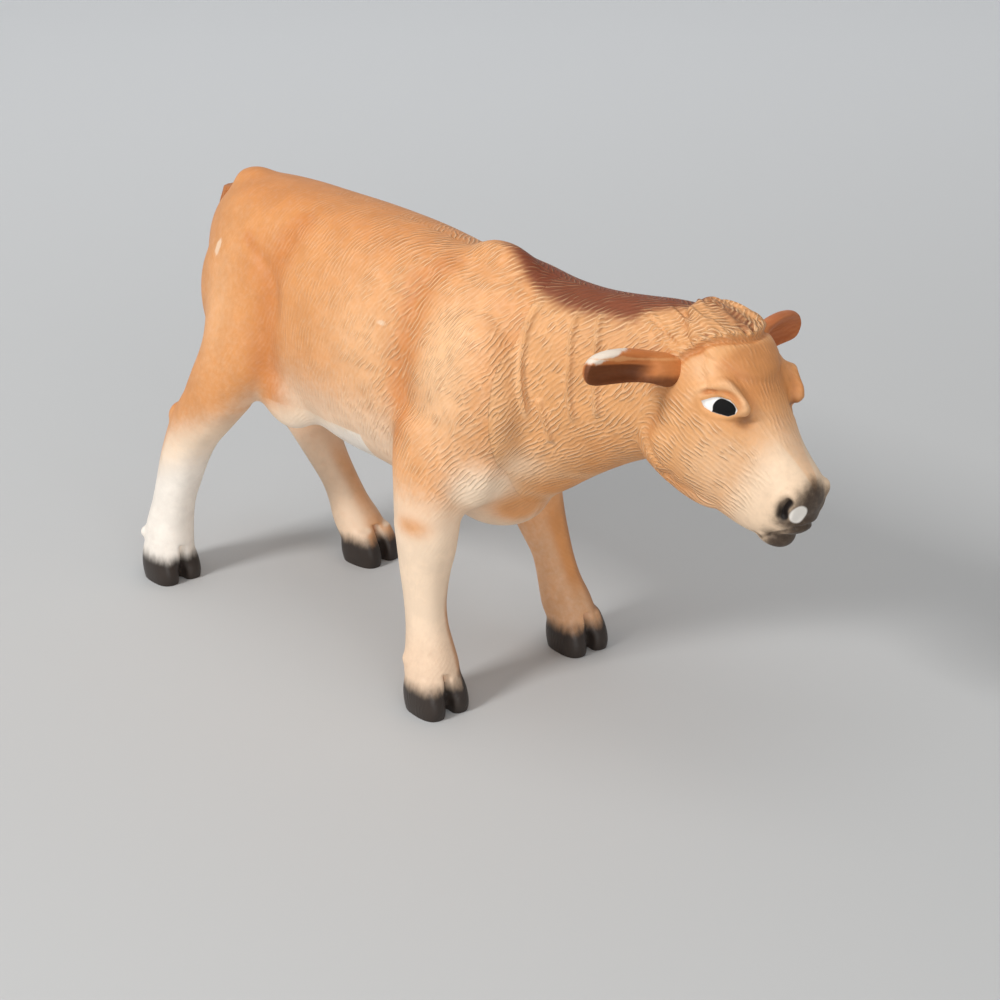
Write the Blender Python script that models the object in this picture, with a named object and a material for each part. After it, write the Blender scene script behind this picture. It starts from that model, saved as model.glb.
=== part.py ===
"""A toy calf in moulded plastic, standing in mid-stride with its head lowered.

The trunk and its four legs are one moulding. The head with the front of the neck, the two
ears and the tail are mouldings of their own, each with a peg that fits a socket.
The calf faces +X, its left side is +Y, and its soles rest on the floor at height zero.
"""

import math

import bmesh
import bpy
import numpy as np
from mathutils import Matrix, Vector

# Driving sizes in metres
WITHERS_HEIGHT = 0.0478
TRUNK_LENGTH = 0.0535
TRUNK_WIDTH = 0.0196
BUTTOCK_REACH = 0.0300
NECK_START = 0.0130
NECK_LENGTH = 0.0245
NECK_WIDTH = 0.0135
HEAD_LENGTH = 0.0200
HEAD_WIDTH = 0.0134
HEAD_DEPTH = 0.0170
HEAD_FORWARD = 0.0348
HEAD_ASIDE = 0.0063
HEAD_HEIGHT = 0.0387
STANCE_WIDTH = 0.0200
CANNON_WIDTH = 0.0042
HOOF_LENGTH = 0.0058
HOOF_WIDTH = 0.0060
HOOF_HEIGHT = 0.0042
CLEFT_WIDTH = 0.0007
DEWCLAW_SIZE = 0.0015
EYE_GROOVE = 0.0006
BROW_THICKNESS = 0.0013
HAIR_GROOVE = 0.0008
NOSTRIL_HEIGHT = 0.0024
MOUTH_LINE = 0.0005
EAR_LENGTH = 0.0102
EAR_HEIGHT = 0.0031
EAR_THICKNESS = 0.0023
TAIL_LENGTH = 0.0270
TAIL_WIDTH = 0.0026

# Joints between the mouldings
SEAM_FORWARD = 0.0217
SEAM_GAP = 0.0003
TENON_WIDTH = 0.0064
TENON_HEIGHT = 0.0110
TENON_LENGTH = 0.0050
TENON_BEVEL = 0.0008
PEG_WIDTH = 0.0018
PEG_LENGTH = 0.0018
FIT_CLEARANCE = 0.0003

# How finely the skins are worked
BODY_GRAIN = 0.00045
HEAD_GRAIN = 0.00028
OVERRUN = 0.0200
RING_POINTS = 40
STATION_STEPS = 4
LIMB_START = 3
FLESH_PASSES = 26
BODY_PASSES = 4
HEAD_PASSES = 4
BODY_FACETS = 5900
HEAD_FACETS = 4560

# Angles: the head is turned a little to the right, lowered and tipped over
HEAD_YAW_DEGREES = -4.2
HEAD_PITCH_DEGREES = 25.6
HEAD_ROLL_DEGREES = -4.4
SEAM_LEAN_DEGREES = 2.0
EAR_TURN_DEGREES = 32.0
NOSTRIL_TURN_DEGREES = 53.0
MOUTH_TURN_DEGREES = -48.0
EYE_TURN_DEGREES = -24.0

# Fullness of a section: 2 is an ellipse, more is squarer
TRUNK_FULLNESS = 2.25
NECK_FULLNESS = 2.1
HEAD_FULLNESS = 2.3
LIMB_FULLNESS = 2.1
CLAW_FULLNESS = 2.6

# Trunk stations: place along TRUNK_LENGTH from the buttock, top and bottom over WITHERS_HEIGHT,
# half width over TRUNK_WIDTH
TRUNK_SHARES = (
    (0.000, 0.890, 0.740, 0.082),
    (0.024, 0.924, 0.669, 0.173),
    (0.075, 0.974, 0.607, 0.276),
    (0.150, 1.008, 0.556, 0.367),
    (0.243, 1.013, 0.521, 0.439),
    (0.355, 1.012, 0.478, 0.448),
    (0.486, 1.008, 0.444, 0.474),
    (0.617, 0.999, 0.433, 0.472),
    (0.729, 0.985, 0.408, 0.448),
    (0.822, 0.969, 0.385, 0.439),
    (0.897, 0.950, 0.402, 0.388),
    (0.953, 0.921, 0.452, 0.316),
    (1.000, 0.879, 0.533, 0.194),
)
TRUNK_BELLY_SHARE = 0.46

# Neck stations: place along NECK_LENGTH, sideways over HEAD_ASIDE, top and bottom over
# WITHERS_HEIGHT, half width over NECK_WIDTH
NECK_SHARES = (
    (0.00, 0.03, 0.970, 0.420, 0.600),
    (0.20, 0.10, 0.980, 0.425, 0.555),
    (0.37, 0.24, 0.958, 0.470, 0.510),
    (0.53, 0.44, 0.944, 0.528, 0.470),
    (0.69, 0.65, 0.943, 0.577, 0.440),
    (0.86, 0.86, 0.945, 0.615, 0.420),
    (1.00, 1.00, 0.930, 0.648, 0.375),
)

# Head stations in the head's own frame: place along HEAD_LENGTH, top and bottom over
# HEAD_DEPTH, half width over HEAD_WIDTH
HEAD_SHARES = (
    (-0.175, 0.294, -0.412, 0.373),
    (0.000, 0.388, -0.482, 0.433),
    (0.175, 0.424, -0.553, 0.455),
    (0.350, 0.365, -0.565, 0.448),
    (0.475, 0.288, -0.529, 0.403),
    (0.600, 0.200, -0.512, 0.313),
    (0.725, 0.135, -0.486, 0.269),
    (0.825, 0.094, -0.435, 0.269),
    (0.900, 0.065, -0.365, 0.246),
    (0.950, 0.012, -0.294, 0.179),
    (0.980, -0.071, -0.200, 0.075),
)

# Muscles of the trunk on each side: centre and radii over TRUNK_LENGTH (from the buttock),
# TRUNK_WIDTH and WITHERS_HEIGHT, then the lean of the top toward the head in degrees
MUSCLE_SHARES = {
    "shoulder": ((0.868, 0.285, 0.690), (0.125, 0.210, 0.205), 9.0),
    "upper_arm": ((0.850, 0.345, 0.575), (0.110, 0.140, 0.130), -8.0),
    "elbow": ((0.770, 0.360, 0.545), (0.060, 0.085, 0.065), 0.0),
    "thigh": ((0.235, 0.235, 0.735), (0.185, 0.230, 0.205), -6.0),
    "buttock": ((0.125, 0.170, 0.780), (0.080, 0.155, 0.150), 10.0),
    "stifle": ((0.335, 0.300, 0.588), (0.100, 0.125, 0.125), -20.0),
}

# Height over WITHERS_HEIGHT that nothing of the head moulding reaches below
THROAT_SHARE = 0.400

# Swellings on the middle line: centre along, height, then radii in the same shares
MIDLINE_SHARES = {
    "withers": ((0.850, 0.932), (0.105, 0.120, 0.082)),
    "brisket": ((0.835, 0.455), (0.118, 0.255, 0.085)),
    "tail_head": ((0.125, 0.978), (0.065, 0.120, 0.042)),
}

# Legs: the sole's place over WITHERS_HEIGHT and STANCE_WIDTH, the hoof's turn in degrees, and
# stations of height and forward shift over WITHERS_HEIGHT, outward place over STANCE_WIDTH,
# then half depth and half width over CANNON_WIDTH
LEG_SHARES = {
    "fore_right": (0.335, -1, -6.0, (
        (0.649, -0.054, 0.350, 1.330, 0.760),
        (0.565, -0.048, 0.410, 1.170, 0.810),
        (0.492, -0.046, 0.440, 1.000, 0.790),
        (0.418, -0.050, 0.455, 0.880, 0.730),
        (0.356, -0.048, 0.465, 0.780, 0.650),
        (0.303, -0.049, 0.475, 0.670, 0.560),
        (0.241, -0.043, 0.490, 0.580, 0.480),
        (0.188, -0.036, 0.495, 0.570, 0.490),
        (0.142, -0.026, 0.500, 0.640, 0.560),
        (0.105, -0.017, 0.510, 0.700, 0.650),
        (0.067, -0.008, 0.520, 0.690, 0.670),
        (0.031, -0.002, 0.525, 0.580, 0.580),
    )),
    "fore_left": (0.347, 1, -7.0, (
        (0.649, -0.085, 0.350, 1.290, 0.760),
        (0.544, -0.108, 0.390, 1.140, 0.790),
        (0.439, -0.116, 0.420, 0.950, 0.760),
        (0.370, -0.113, 0.435, 0.830, 0.720),
        (0.318, -0.101, 0.450, 0.750, 0.670),
        (0.268, -0.083, 0.465, 0.660, 0.590),
        (0.215, -0.062, 0.480, 0.580, 0.510),
        (0.167, -0.047, 0.490, 0.610, 0.530),
        (0.126, -0.032, 0.500, 0.680, 0.610),
        (0.088, -0.018, 0.505, 0.700, 0.650),
        (0.042, 0.000, 0.515, 0.600, 0.580),
    )),
    "hind_right": (-0.619, -1, -4.0, (
        (0.753, 0.232, 0.300, 1.380, 0.800),
        (0.649, 0.238, 0.370, 1.300, 0.800),
        (0.565, 0.206, 0.415, 1.260, 0.790),
        (0.496, 0.165, 0.435, 1.160, 0.740),
        (0.429, 0.113, 0.455, 1.020, 0.690),
        (0.374, 0.078, 0.475, 0.830, 0.650),
        (0.318, 0.053, 0.490, 0.730, 0.620),
        (0.257, 0.033, 0.505, 0.670, 0.580),
        (0.201, 0.016, 0.520, 0.640, 0.560),
        (0.130, 0.001, 0.535, 0.720, 0.620),
        (0.067, -0.001, 0.543, 0.720, 0.650),
        (0.031, -0.002, 0.545, 0.640, 0.590),
    )),
    "hind_left": (-0.350, 1, 4.0, (
        (0.753, -0.062, 0.300, 1.380, 0.800),
        (0.649, -0.070, 0.370, 1.300, 0.800),
        (0.544, -0.126, 0.400, 1.170, 0.760),
        (0.460, -0.178, 0.400, 1.000, 0.710),
        (0.387, -0.215, 0.400, 0.930, 0.690),
        (0.335, -0.207, 0.405, 0.830, 0.670),
        (0.291, -0.172, 0.415, 0.760, 0.640),
        (0.236, -0.132, 0.425, 0.640, 0.570),
        (0.186, -0.094, 0.435, 0.600, 0.520),
        (0.146, -0.067, 0.440, 0.620, 0.550),
        (0.100, -0.040, 0.450, 0.730, 0.660),
        (0.063, -0.023, 0.453, 0.710, 0.640),
        (0.031, -0.010, 0.455, 0.600, 0.590),
    )),
}

# Hock points: the leg, height, shift from the sole over WITHERS_HEIGHT, outward place over
# STANCE_WIDTH, and size over CANNON_WIDTH
HOCK_SHARES = (
    ("hind_right", 0.425, 0.042, 0.455, 0.420),
    ("hind_left", 0.400, -0.285, 0.400, 0.400),
)

# One claw of a hoof: height over HOOF_HEIGHT, forward shift and half length over
# HOOF_LENGTH, half width over HOOF_WIDTH
CLAW_SHARES = (
    (-0.30, 0.060, 0.360, 0.200),
    (0.00, 0.055, 0.450, 0.235),
    (0.25, 0.040, 0.490, 0.250),
    (0.60, 0.000, 0.455, 0.240),
    (1.00, -0.060, 0.340, 0.185),
)
CLAW_SPREAD_SHARE = 0.250
DEWCLAW_SHARES = (-0.400, 0.270, 1.250)
CLEFT_SHARES = (0.440, 0.340, 0.800)

# Soft forms of the head on each side: centre over HEAD_LENGTH, HEAD_WIDTH and HEAD_DEPTH,
# then radii over the same, and the nose-down turn in degrees
FACE_SHARES = {
    "cheek": ((0.210, 0.276, -0.224), (0.230, 0.180, 0.282), 20.0),
    "brow": ((0.345, 0.288, 0.250), (0.165, 0.098, 0.068), 8.0),
    "eyeball": ((0.418, 0.278, 0.165), (0.105, 0.096, 0.084), EYE_TURN_DEGREES),
    "muzzle_pad": ((0.830, 0.112, -0.141), (0.130, 0.142, 0.170), 15.0),
    "nose_rim": ((0.885, 0.160, -0.040), (0.055, 0.070, 0.065), 0.0),
    "jaw_bone": ((0.300, 0.194, -0.458), (0.310, 0.112, 0.100), -6.0),
}
FACE_MIDLINE_SHARES = {
    "hair_cap": ((0.165, 0.338), (0.275, 0.330, 0.110), 6.0),
    "chin": ((0.835, -0.352), (0.125, 0.180, 0.082), 12.0),
    "upper_lip": ((0.860, -0.200), (0.140, 0.224, 0.125), 0.0),
    "forehead": ((0.360, 0.241), (0.200, 0.269, 0.106), 22.0),
}

# The fold of skin over the eye and the edge of the lids round it, as points over HEAD_LENGTH,
# HEAD_WIDTH and HEAD_DEPTH
BROW_SHARES = (
    (0.269, 0.355, 0.060),
    (0.282, 0.350, 0.140),
    (0.333, 0.333, 0.212),
    (0.384, 0.314, 0.268),
    (0.442, 0.298, 0.272),
    (0.487, 0.276, 0.240),
    (0.514, 0.235, 0.175),
)

EYE_LINE_SHARES = (
    (0.316, 0.372, 0.128),
    (0.342, 0.372, 0.177),
    (0.389, 0.366, 0.225),
    (0.443, 0.350, 0.238),
    (0.492, 0.322, 0.206),
    (0.473, 0.350, 0.137),
    (0.418, 0.372, 0.099),
    (0.361, 0.375, 0.100),
)

# The front edge of the hair cap, from the right ear over the forehead to the left ear
HAIR_LINE_SHARES = (
    (0.060, -0.400, 0.190),
    (0.100, -0.361, 0.262),
    (0.138, -0.317, 0.343),
    (0.175, -0.248, 0.390),
    (0.212, -0.130, 0.412),
    (0.232, 0.000, 0.415),
    (0.212, 0.130, 0.412),
    (0.175, 0.248, 0.390),
    (0.138, 0.317, 0.343),
    (0.100, 0.361, 0.262),
    (0.060, 0.400, 0.190),
)

# Nostril and mouth cuts, over HEAD_LENGTH, HEAD_WIDTH and HEAD_DEPTH
NOSTRIL_SHARES = (0.910, 0.224, -0.060)
NOSTRIL_RADIUS_SHARES = (0.480, 0.200, 0.500)
MOUTH_SHARES = (0.945, -0.265)
MOUTH_REACH_SHARES = (0.105, 0.260)

# Ears: the root's place over HEAD_LENGTH, HEAD_WIDTH and HEAD_DEPTH, and the tip's place
# from the root over EAR_LENGTH
EAR_ROOT_SHARES = (0.100, 0.390, 0.115)
EAR_AIM_SHARES = (-0.210, 0.975, 0.020)
EAR_SHARES = (
    (0.00, 0.560, 0.680),
    (0.14, 0.540, 0.640),
    (0.30, 0.500, 0.560),
    (0.48, 0.510, 0.530),
    (0.66, 0.530, 0.520),
    (0.82, 0.510, 0.470),
    (0.94, 0.400, 0.350),
    (1.00, 0.160, 0.140),
)
EAR_HOLLOW_SHARES = (0.610, -0.060, 0.580)
EAR_HOLLOW_RADIUS_SHARES = (0.350, 0.440, 0.580)
EAR_BEND_SHARE = 0.060

# Tail: place down its length, backward place over TAIL_LENGTH, half width and half depth
# over TAIL_WIDTH
TAIL_SHARES = (
    (0.00, 0.000, 0.620, 0.620),
    (0.10, 0.046, 0.600, 0.560),
    (0.25, 0.066, 0.500, 0.460),
    (0.45, 0.058, 0.420, 0.400),
    (0.62, 0.044, 0.440, 0.420),
    (0.80, 0.036, 0.620, 0.560),
    (0.93, 0.034, 0.480, 0.420),
    (1.00, 0.034, 0.160, 0.140),
)
TAIL_ROOT_SHARES = (0.054, 0.957)

COLOURS = {
    "body": ((0.78, 0.42, 0.17, 1.0), 0.55),
    "head": ((0.80, 0.45, 0.19, 1.0), 0.55),
    "ear_right": ((0.42, 0.17, 0.06, 1.0), 0.55),
    "ear_left": ((0.55, 0.23, 0.09, 1.0), 0.55),
    "tail": ((0.50, 0.22, 0.09, 1.0), 0.55),
}


def clear_scene():
    """Empties the scene that the model is built in."""
    for item in list(bpy.data.objects):
        bpy.data.objects.remove(item, do_unlink=True)


def eased(rows):
    """Rows of a station table with smooth in-between rows.

    Catmull-Rom: for t from 0 to 1 between rows b and c with neighbours a and d,
    p(t) = b + t(c - a)/2 + t^2(a - 5b/2 + 2c - d/2) + t^3(3(b - c)/2 + (d - a)/2).
    """
    table = np.array(rows, dtype=float)
    padded = np.vstack([2 * table[0] - table[1], table, 2 * table[-1] - table[-2]])
    result = []
    for a, b, c, d in zip(padded, padded[1:], padded[2:], padded[3:]):
        for step in range(STATION_STEPS):
            t = step / STATION_STEPS
            result.append(
                b
                + t * (c - a) / 2
                + t**2 * (a - 5 * b / 2 + 2 * c - d / 2)
                + t**3 * (3 * (b - c) / 2 + (d - a) / 2)
            )
    result.append(table[-1])
    return result


def oval(centre, side, up, half_width, rise, drop, fullness):
    """A ring of points with its own height above and below the centre.

    x = w |cos a|^(2/n), y = h |sin a|^(2/n), each with the sign of its cosine or sine.
    """
    points = []
    for step in range(RING_POINTS):
        turn = 2 * math.pi * step / RING_POINTS
        cosine = math.cos(turn)
        sine = math.sin(turn)
        across = half_width * math.copysign(abs(cosine) ** (2 / fullness), cosine)
        height = rise if sine > 0 else drop
        along = height * math.copysign(abs(sine) ** (2 / fullness), sine)
        points.append(centre + side * across + up * along)
    return points


def add_loft(mesh, rings, joined=False):
    """Skins a stack of rings into one closed shell, or into a hoop when the ends are joined."""
    loops = [[mesh.verts.new(point) for point in ring] for ring in rings]
    pairs = list(zip(loops, loops[1:]))
    if joined:
        pairs.append((loops[-1], loops[0]))
    for low, high in pairs:
        for index in range(len(low)):
            following = (index + 1) % len(low)
            mesh.faces.new((low[index], low[following], high[following], high[index]))
    if not joined:
        mesh.faces.new(list(reversed(loops[0])))
        mesh.faces.new(loops[-1])


def add_ellipsoid(mesh, placement, centre, radii, turn_degrees=0.0, fineness=4):
    """Adds an ellipsoid whose long axes are turned about the sideways axis."""
    turn = Matrix.Rotation(math.radians(turn_degrees), 4, "Y")
    matrix = placement @ Matrix.Translation(centre) @ turn @ Matrix.Diagonal((*radii, 1.0))
    bmesh.ops.create_icosphere(mesh, subdivisions=fineness, radius=1.0, matrix=matrix)


def add_tube(mesh, placement, points, radius):
    """Adds a round cord along a row of points, with round ends."""
    path = eased(points)
    for here, ahead in zip(path, path[1:]):
        middle = Vector((np.array(here) + np.array(ahead)) / 2)
        add_ellipsoid(mesh, placement, middle, (radius, radius, radius), fineness=2)


def finish_mesh(mesh, name):
    """Turns a work mesh into an object with smooth shading and faces that point out."""
    bmesh.ops.recalc_face_normals(mesh, faces=mesh.faces)
    data = bpy.data.meshes.new(name)
    mesh.to_mesh(data)
    mesh.free()
    data.shade_smooth()
    item = bpy.data.objects.new(name, data)
    bpy.context.collection.objects.link(item)
    return item


def as_cutter(item):
    """Marks an object as a tool that shapes another one."""
    item.display_type = "WIRE"
    item.hide_render = True
    return item


def boolean(item, tool, operation, label):
    """Adds a Boolean step to an object."""
    step = item.modifiers.new(label, "BOOLEAN")
    step.operation = operation
    step.solver = "EXACT"
    step.object = tool


def trim_behind(mesh, point, facing):
    """Cuts away what lies behind the plane that a point and its facing give, and closes the cut."""
    parts = mesh.verts[:] + mesh.edges[:] + mesh.faces[:]
    bmesh.ops.bisect_plane(mesh, geom=parts, plane_co=point, plane_no=facing, clear_inner=True)
    open_edges = [edge for edge in mesh.edges if edge.is_boundary]
    bmesh.ops.holes_fill(mesh, edges=open_edges)


def fuse(item, grain, passes):
    """Fuses overlapping forms into one skin and softens where they join."""
    join = item.modifiers.new("fuse", "REMESH")
    join.mode = "VOXEL"
    join.voxel_size = grain
    join.use_smooth_shade = True
    soften = item.modifiers.new("soften", "SMOOTH")
    soften.factor = 0.5
    soften.iterations = passes
    bpy.context.view_layer.update()
    return item.evaluated_get(bpy.context.evaluated_depsgraph_get()).data


def skin(item, grain, passes, facets):
    """Fuses the forms of a piece and thins the facets of its skin."""
    shape = fuse(item, grain, passes)
    shape.calc_loop_triangles()
    thin = item.modifiers.new("thin", "DECIMATE")
    thin.ratio = min(1.0, facets / len(shape.loop_triangles))


def head_frame():
    """Where the head sits: turned, lowered and tipped from the trunk's own axes."""
    place = Matrix.Translation((HEAD_FORWARD, HEAD_ASIDE, HEAD_HEIGHT))
    yaw = Matrix.Rotation(math.radians(HEAD_YAW_DEGREES), 4, "Z")
    pitch = Matrix.Rotation(math.radians(HEAD_PITCH_DEGREES), 4, "Y")
    roll = Matrix.Rotation(math.radians(HEAD_ROLL_DEGREES), 4, "X")
    return place @ yaw @ pitch @ roll


def along_trunk(share):
    """Distance forward of the origin for a share of the trunk's length."""
    return share * TRUNK_LENGTH - BUTTOCK_REACH


def add_trunk(mesh):
    """Adds the barrel, lofted from the buttock to the breast."""
    side = Vector((0, 1, 0))
    up = Vector((0, 0, 1))
    rings = []
    for along, top, bottom, half in eased(TRUNK_SHARES):
        middle = bottom + TRUNK_BELLY_SHARE * (top - bottom)
        centre = Vector((along_trunk(along), 0, middle * WITHERS_HEIGHT))
        rise = (top - middle) * WITHERS_HEIGHT
        drop = (middle - bottom) * WITHERS_HEIGHT
        rings.append(oval(centre, side, up, half * TRUNK_WIDTH, rise, drop, TRUNK_FULLNESS))
    add_loft(mesh, rings)


def add_muscles(mesh):
    """Adds the muscle and bone forms that stand out from the barrel."""
    for centre, radii, lean in MUSCLE_SHARES.values():
        size = (radii[0] * TRUNK_LENGTH, radii[1] * TRUNK_WIDTH, radii[2] * WITHERS_HEIGHT)
        for sign in (-1, 1):
            place = (along_trunk(centre[0]), sign * centre[1] * TRUNK_WIDTH, centre[2] * WITHERS_HEIGHT)
            add_ellipsoid(mesh, Matrix.Identity(4), place, size, lean)
    for centre, radii in MIDLINE_SHARES.values():
        size = (radii[0] * TRUNK_LENGTH, radii[1] * TRUNK_WIDTH, radii[2] * WITHERS_HEIGHT)
        place = (along_trunk(centre[0]), 0, centre[1] * WITHERS_HEIGHT)
        add_ellipsoid(mesh, Matrix.Identity(4), place, size)


def add_neck(mesh):
    """Adds the neck, which swings to the left as it runs forward."""
    side = Vector((0, 1, 0))
    up = Vector((0, 0, 1))
    rings = []
    for along, aside, top, bottom, half in eased(NECK_SHARES):
        middle = (top + bottom) / 2
        centre = Vector((
            NECK_START + along * NECK_LENGTH,
            aside * HEAD_ASIDE,
            middle * WITHERS_HEIGHT,
        ))
        rise = (top - middle) * WITHERS_HEIGHT
        rings.append(oval(centre, side, up, half * NECK_WIDTH, rise, rise, NECK_FULLNESS))
    add_loft(mesh, rings)


def add_skull(mesh):
    """Adds the plain mass of the head in its own frame."""
    frame = head_frame()
    side = frame.to_3x3() @ Vector((0, 1, 0))
    up = frame.to_3x3() @ Vector((0, 0, 1))
    rings = []
    for along, top, bottom, half in eased(HEAD_SHARES):
        middle = (top + bottom) / 2
        centre = frame @ Vector((along * HEAD_LENGTH, 0, middle * HEAD_DEPTH))
        rise = (top - middle) * HEAD_DEPTH
        rings.append(oval(centre, side, up, half * HEAD_WIDTH, rise, rise, HEAD_FULLNESS))
    add_loft(mesh, rings)


def add_face(mesh):
    """Adds the cheeks, brows, eyeballs, hair cap, nose and lips."""
    frame = head_frame()
    unit = Vector((HEAD_LENGTH, HEAD_WIDTH, HEAD_DEPTH))
    for centre, radii, turn in FACE_SHARES.values():
        for sign in (-1, 1):
            place = Vector((centre[0], sign * centre[1], centre[2])) * unit
            add_ellipsoid(mesh, frame, place, Vector(radii) * unit, turn)
    for centre, radii, turn in FACE_MIDLINE_SHARES.values():
        place = Vector((centre[0], 0, centre[1])) * unit
        add_ellipsoid(mesh, frame, place, Vector(radii) * unit, turn)
    for sign in (-1, 1):
        points = [Vector((n, sign * l, t)) * unit for n, l, t in BROW_SHARES]
        add_tube(mesh, frame, points, BROW_THICKNESS / 2)


def sole_place(leg):
    """Middle of a leg's sole on the floor."""
    forward, sign, turn, stations = LEG_SHARES[leg]
    return Vector((forward * WITHERS_HEIGHT, sign * stations[-1][2] * STANCE_WIDTH, 0))


def hoof_frame(leg):
    """A hoof's own frame: on the floor, turned the way that it points."""
    turn = LEG_SHARES[leg][2]
    return Matrix.Translation(sole_place(leg)) @ Matrix.Rotation(math.radians(turn), 4, "Z")


def add_leg(mesh, leg, first=0):
    """Adds one leg, lofted to the hoof from its first station or a lower one."""
    forward, sign, turn, stations = LEG_SHARES[leg]
    stations = stations[first:]
    side = Vector((0, 1, 0))
    front = Vector((1, 0, 0))
    rings = []
    for height, shift, out, depth, width in eased(stations):
        centre = Vector((
            (forward + shift) * WITHERS_HEIGHT,
            sign * out * STANCE_WIDTH,
            height * WITHERS_HEIGHT,
        ))
        half = width * CANNON_WIDTH
        reach = depth * CANNON_WIDTH
        rings.append(oval(centre, side, front, half, reach, reach, LIMB_FULLNESS))
    add_loft(mesh, rings)


def add_hoof(mesh, leg):
    """Adds the two claws and the two dewclaws of one hoof."""
    frame = hoof_frame(leg)
    side = frame.to_3x3() @ Vector((0, 1, 0))
    front = frame.to_3x3() @ Vector((1, 0, 0))
    for sign in (-1, 1):
        rings = []
        for height, shift, length, width in eased(CLAW_SHARES):
            centre = frame @ Vector((
                shift * HOOF_LENGTH,
                sign * CLAW_SPREAD_SHARE * HOOF_WIDTH,
                height * HOOF_HEIGHT,
            ))
            half = width * HOOF_WIDTH
            reach = length * HOOF_LENGTH
            rings.append(oval(centre, side, front, half, reach, reach, CLAW_FULLNESS))
        add_loft(mesh, rings)
        back, out, height = DEWCLAW_SHARES
        place = (back * HOOF_LENGTH, sign * out * HOOF_WIDTH, height * HOOF_HEIGHT)
        add_ellipsoid(mesh, frame, place, [DEWCLAW_SIZE / 2] * 3, fineness=3)


def add_hocks(mesh):
    """Adds the point of each hock behind the hind legs."""
    for leg, height, shift, out, size in HOCK_SHARES:
        forward, sign, turn, stations = LEG_SHARES[leg]
        place = (
            (forward + shift) * WITHERS_HEIGHT,
            sign * out * STANCE_WIDTH,
            height * WITHERS_HEIGHT,
        )
        add_ellipsoid(mesh, Matrix.Identity(4), place, [size * CANNON_WIDTH] * 3, fineness=3)


def box_tool(name, low, high, bevel=0.0):
    """A box between two corners, with rounded edges where asked."""
    mesh = bmesh.new()
    size = Vector(high) - Vector(low)
    middle = (Vector(high) + Vector(low)) / 2
    matrix = Matrix.Translation(middle) @ Matrix.Diagonal((*size, 1.0))
    bmesh.ops.create_cube(mesh, size=1.0, matrix=matrix)
    if bevel > 0:
        bmesh.ops.bevel(mesh, geom=mesh.edges[:], offset=bevel, segments=3, profile=0.5, affect="EDGES")
    return as_cutter(finish_mesh(mesh, name))


def seam_frame():
    """The plane where head and body meet, and its place at the middle of the neck."""
    height = WITHERS_HEIGHT * (NECK_SHARES[2][2] + NECK_SHARES[2][3]) / 2
    aside = HEAD_ASIDE * NECK_SHARES[2][1]
    lean = Matrix.Rotation(math.radians(SEAM_LEAN_DEGREES), 4, "Y")
    return Matrix.Translation((SEAM_FORWARD, aside, height)) @ lean


def seam_tools():
    """Tools that part the head from the body, and the tenon and its socket."""
    front = box_tool("cut_front", (0, -OVERRUN, -OVERRUN), (2 * OVERRUN, OVERRUN, OVERRUN))
    back = box_tool("cut_back", (-OVERRUN, -OVERRUN, -WITHERS_HEIGHT), (SEAM_GAP, OVERRUN, OVERRUN))
    half_width = TENON_WIDTH / 2
    half_height = TENON_HEIGHT / 2
    tenon = box_tool(
        "tenon",
        (-TENON_LENGTH, -half_width, -half_height),
        (SEAM_GAP + TENON_LENGTH / 2, half_width, half_height),
        TENON_BEVEL,
    )
    room = FIT_CLEARANCE
    socket = box_tool(
        "tenon_socket",
        (-TENON_LENGTH - room, -half_width - room, -half_height - room),
        (TENON_LENGTH, half_width + room, half_height + room),
        TENON_BEVEL,
    )
    for tool in (front, back, tenon, socket):
        tool.matrix_world = seam_frame()
    return front, back, tenon, socket


def hoof_cleft_tool():
    """Thin lenses that part the claws at the front of each hoof."""
    mesh = bmesh.new()
    shift, length, height = CLEFT_SHARES
    for leg in LEG_SHARES:
        radii = (length * HOOF_LENGTH, CLEFT_WIDTH / 2, height * HOOF_HEIGHT)
        place = (shift * HOOF_LENGTH, 0, 0)
        add_ellipsoid(mesh, hoof_frame(leg), place, radii, fineness=3)
    return as_cutter(finish_mesh(mesh, "hoof_clefts"))


def nostril_tool():
    """Two slanting hollows for the nostrils."""
    mesh = bmesh.new()
    unit = Vector((HEAD_LENGTH, HEAD_WIDTH, HEAD_DEPTH))
    radii = [share * NOSTRIL_HEIGHT for share in NOSTRIL_RADIUS_SHARES]
    for sign in (-1, 1):
        n, l, t = NOSTRIL_SHARES
        place = Matrix.Translation(Vector((n, sign * l, t)) * unit)
        turn = Matrix.Rotation(math.radians(sign * NOSTRIL_TURN_DEGREES), 4, "Z")
        add_ellipsoid(mesh, head_frame() @ place @ turn, (0, 0, 0), radii, fineness=3)
    return as_cutter(finish_mesh(mesh, "nostrils"))


def mouth_tool():
    """A flat lens that draws the line between the lips."""
    mesh = bmesh.new()
    along, height = MOUTH_SHARES
    reach, out = MOUTH_REACH_SHARES
    radii = (reach * HEAD_LENGTH, out * HEAD_WIDTH, MOUTH_LINE / 2)
    place = (along * HEAD_LENGTH, 0, height * HEAD_DEPTH)
    add_ellipsoid(mesh, head_frame(), place, radii, MOUTH_TURN_DEGREES, 3)
    return as_cutter(finish_mesh(mesh, "mouth"))


def add_groove(mesh, path, reference, radius, joined=False):
    """Adds a round cord along a path on the head; cut away, it leaves a groove."""
    frame = head_frame()
    unit = Vector((HEAD_LENGTH, HEAD_WIDTH, HEAD_DEPTH))
    points = [frame @ (Vector(place) * unit) for place in path]
    count = len(points)
    rings = []
    for index, centre in enumerate(points):
        after = (index + 1) % count if joined else min(index + 1, count - 1)
        before = index - 1 if joined else max(index - 1, 0)
        ahead = points[after] - points[before]
        side = ahead.cross(frame.to_3x3() @ Vector(reference)).normalized()
        up = side.cross(ahead).normalized()
        rings.append(oval(centre, side, up, radius, radius, radius, 2.0)[::4])
    add_loft(mesh, rings, joined)


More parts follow.
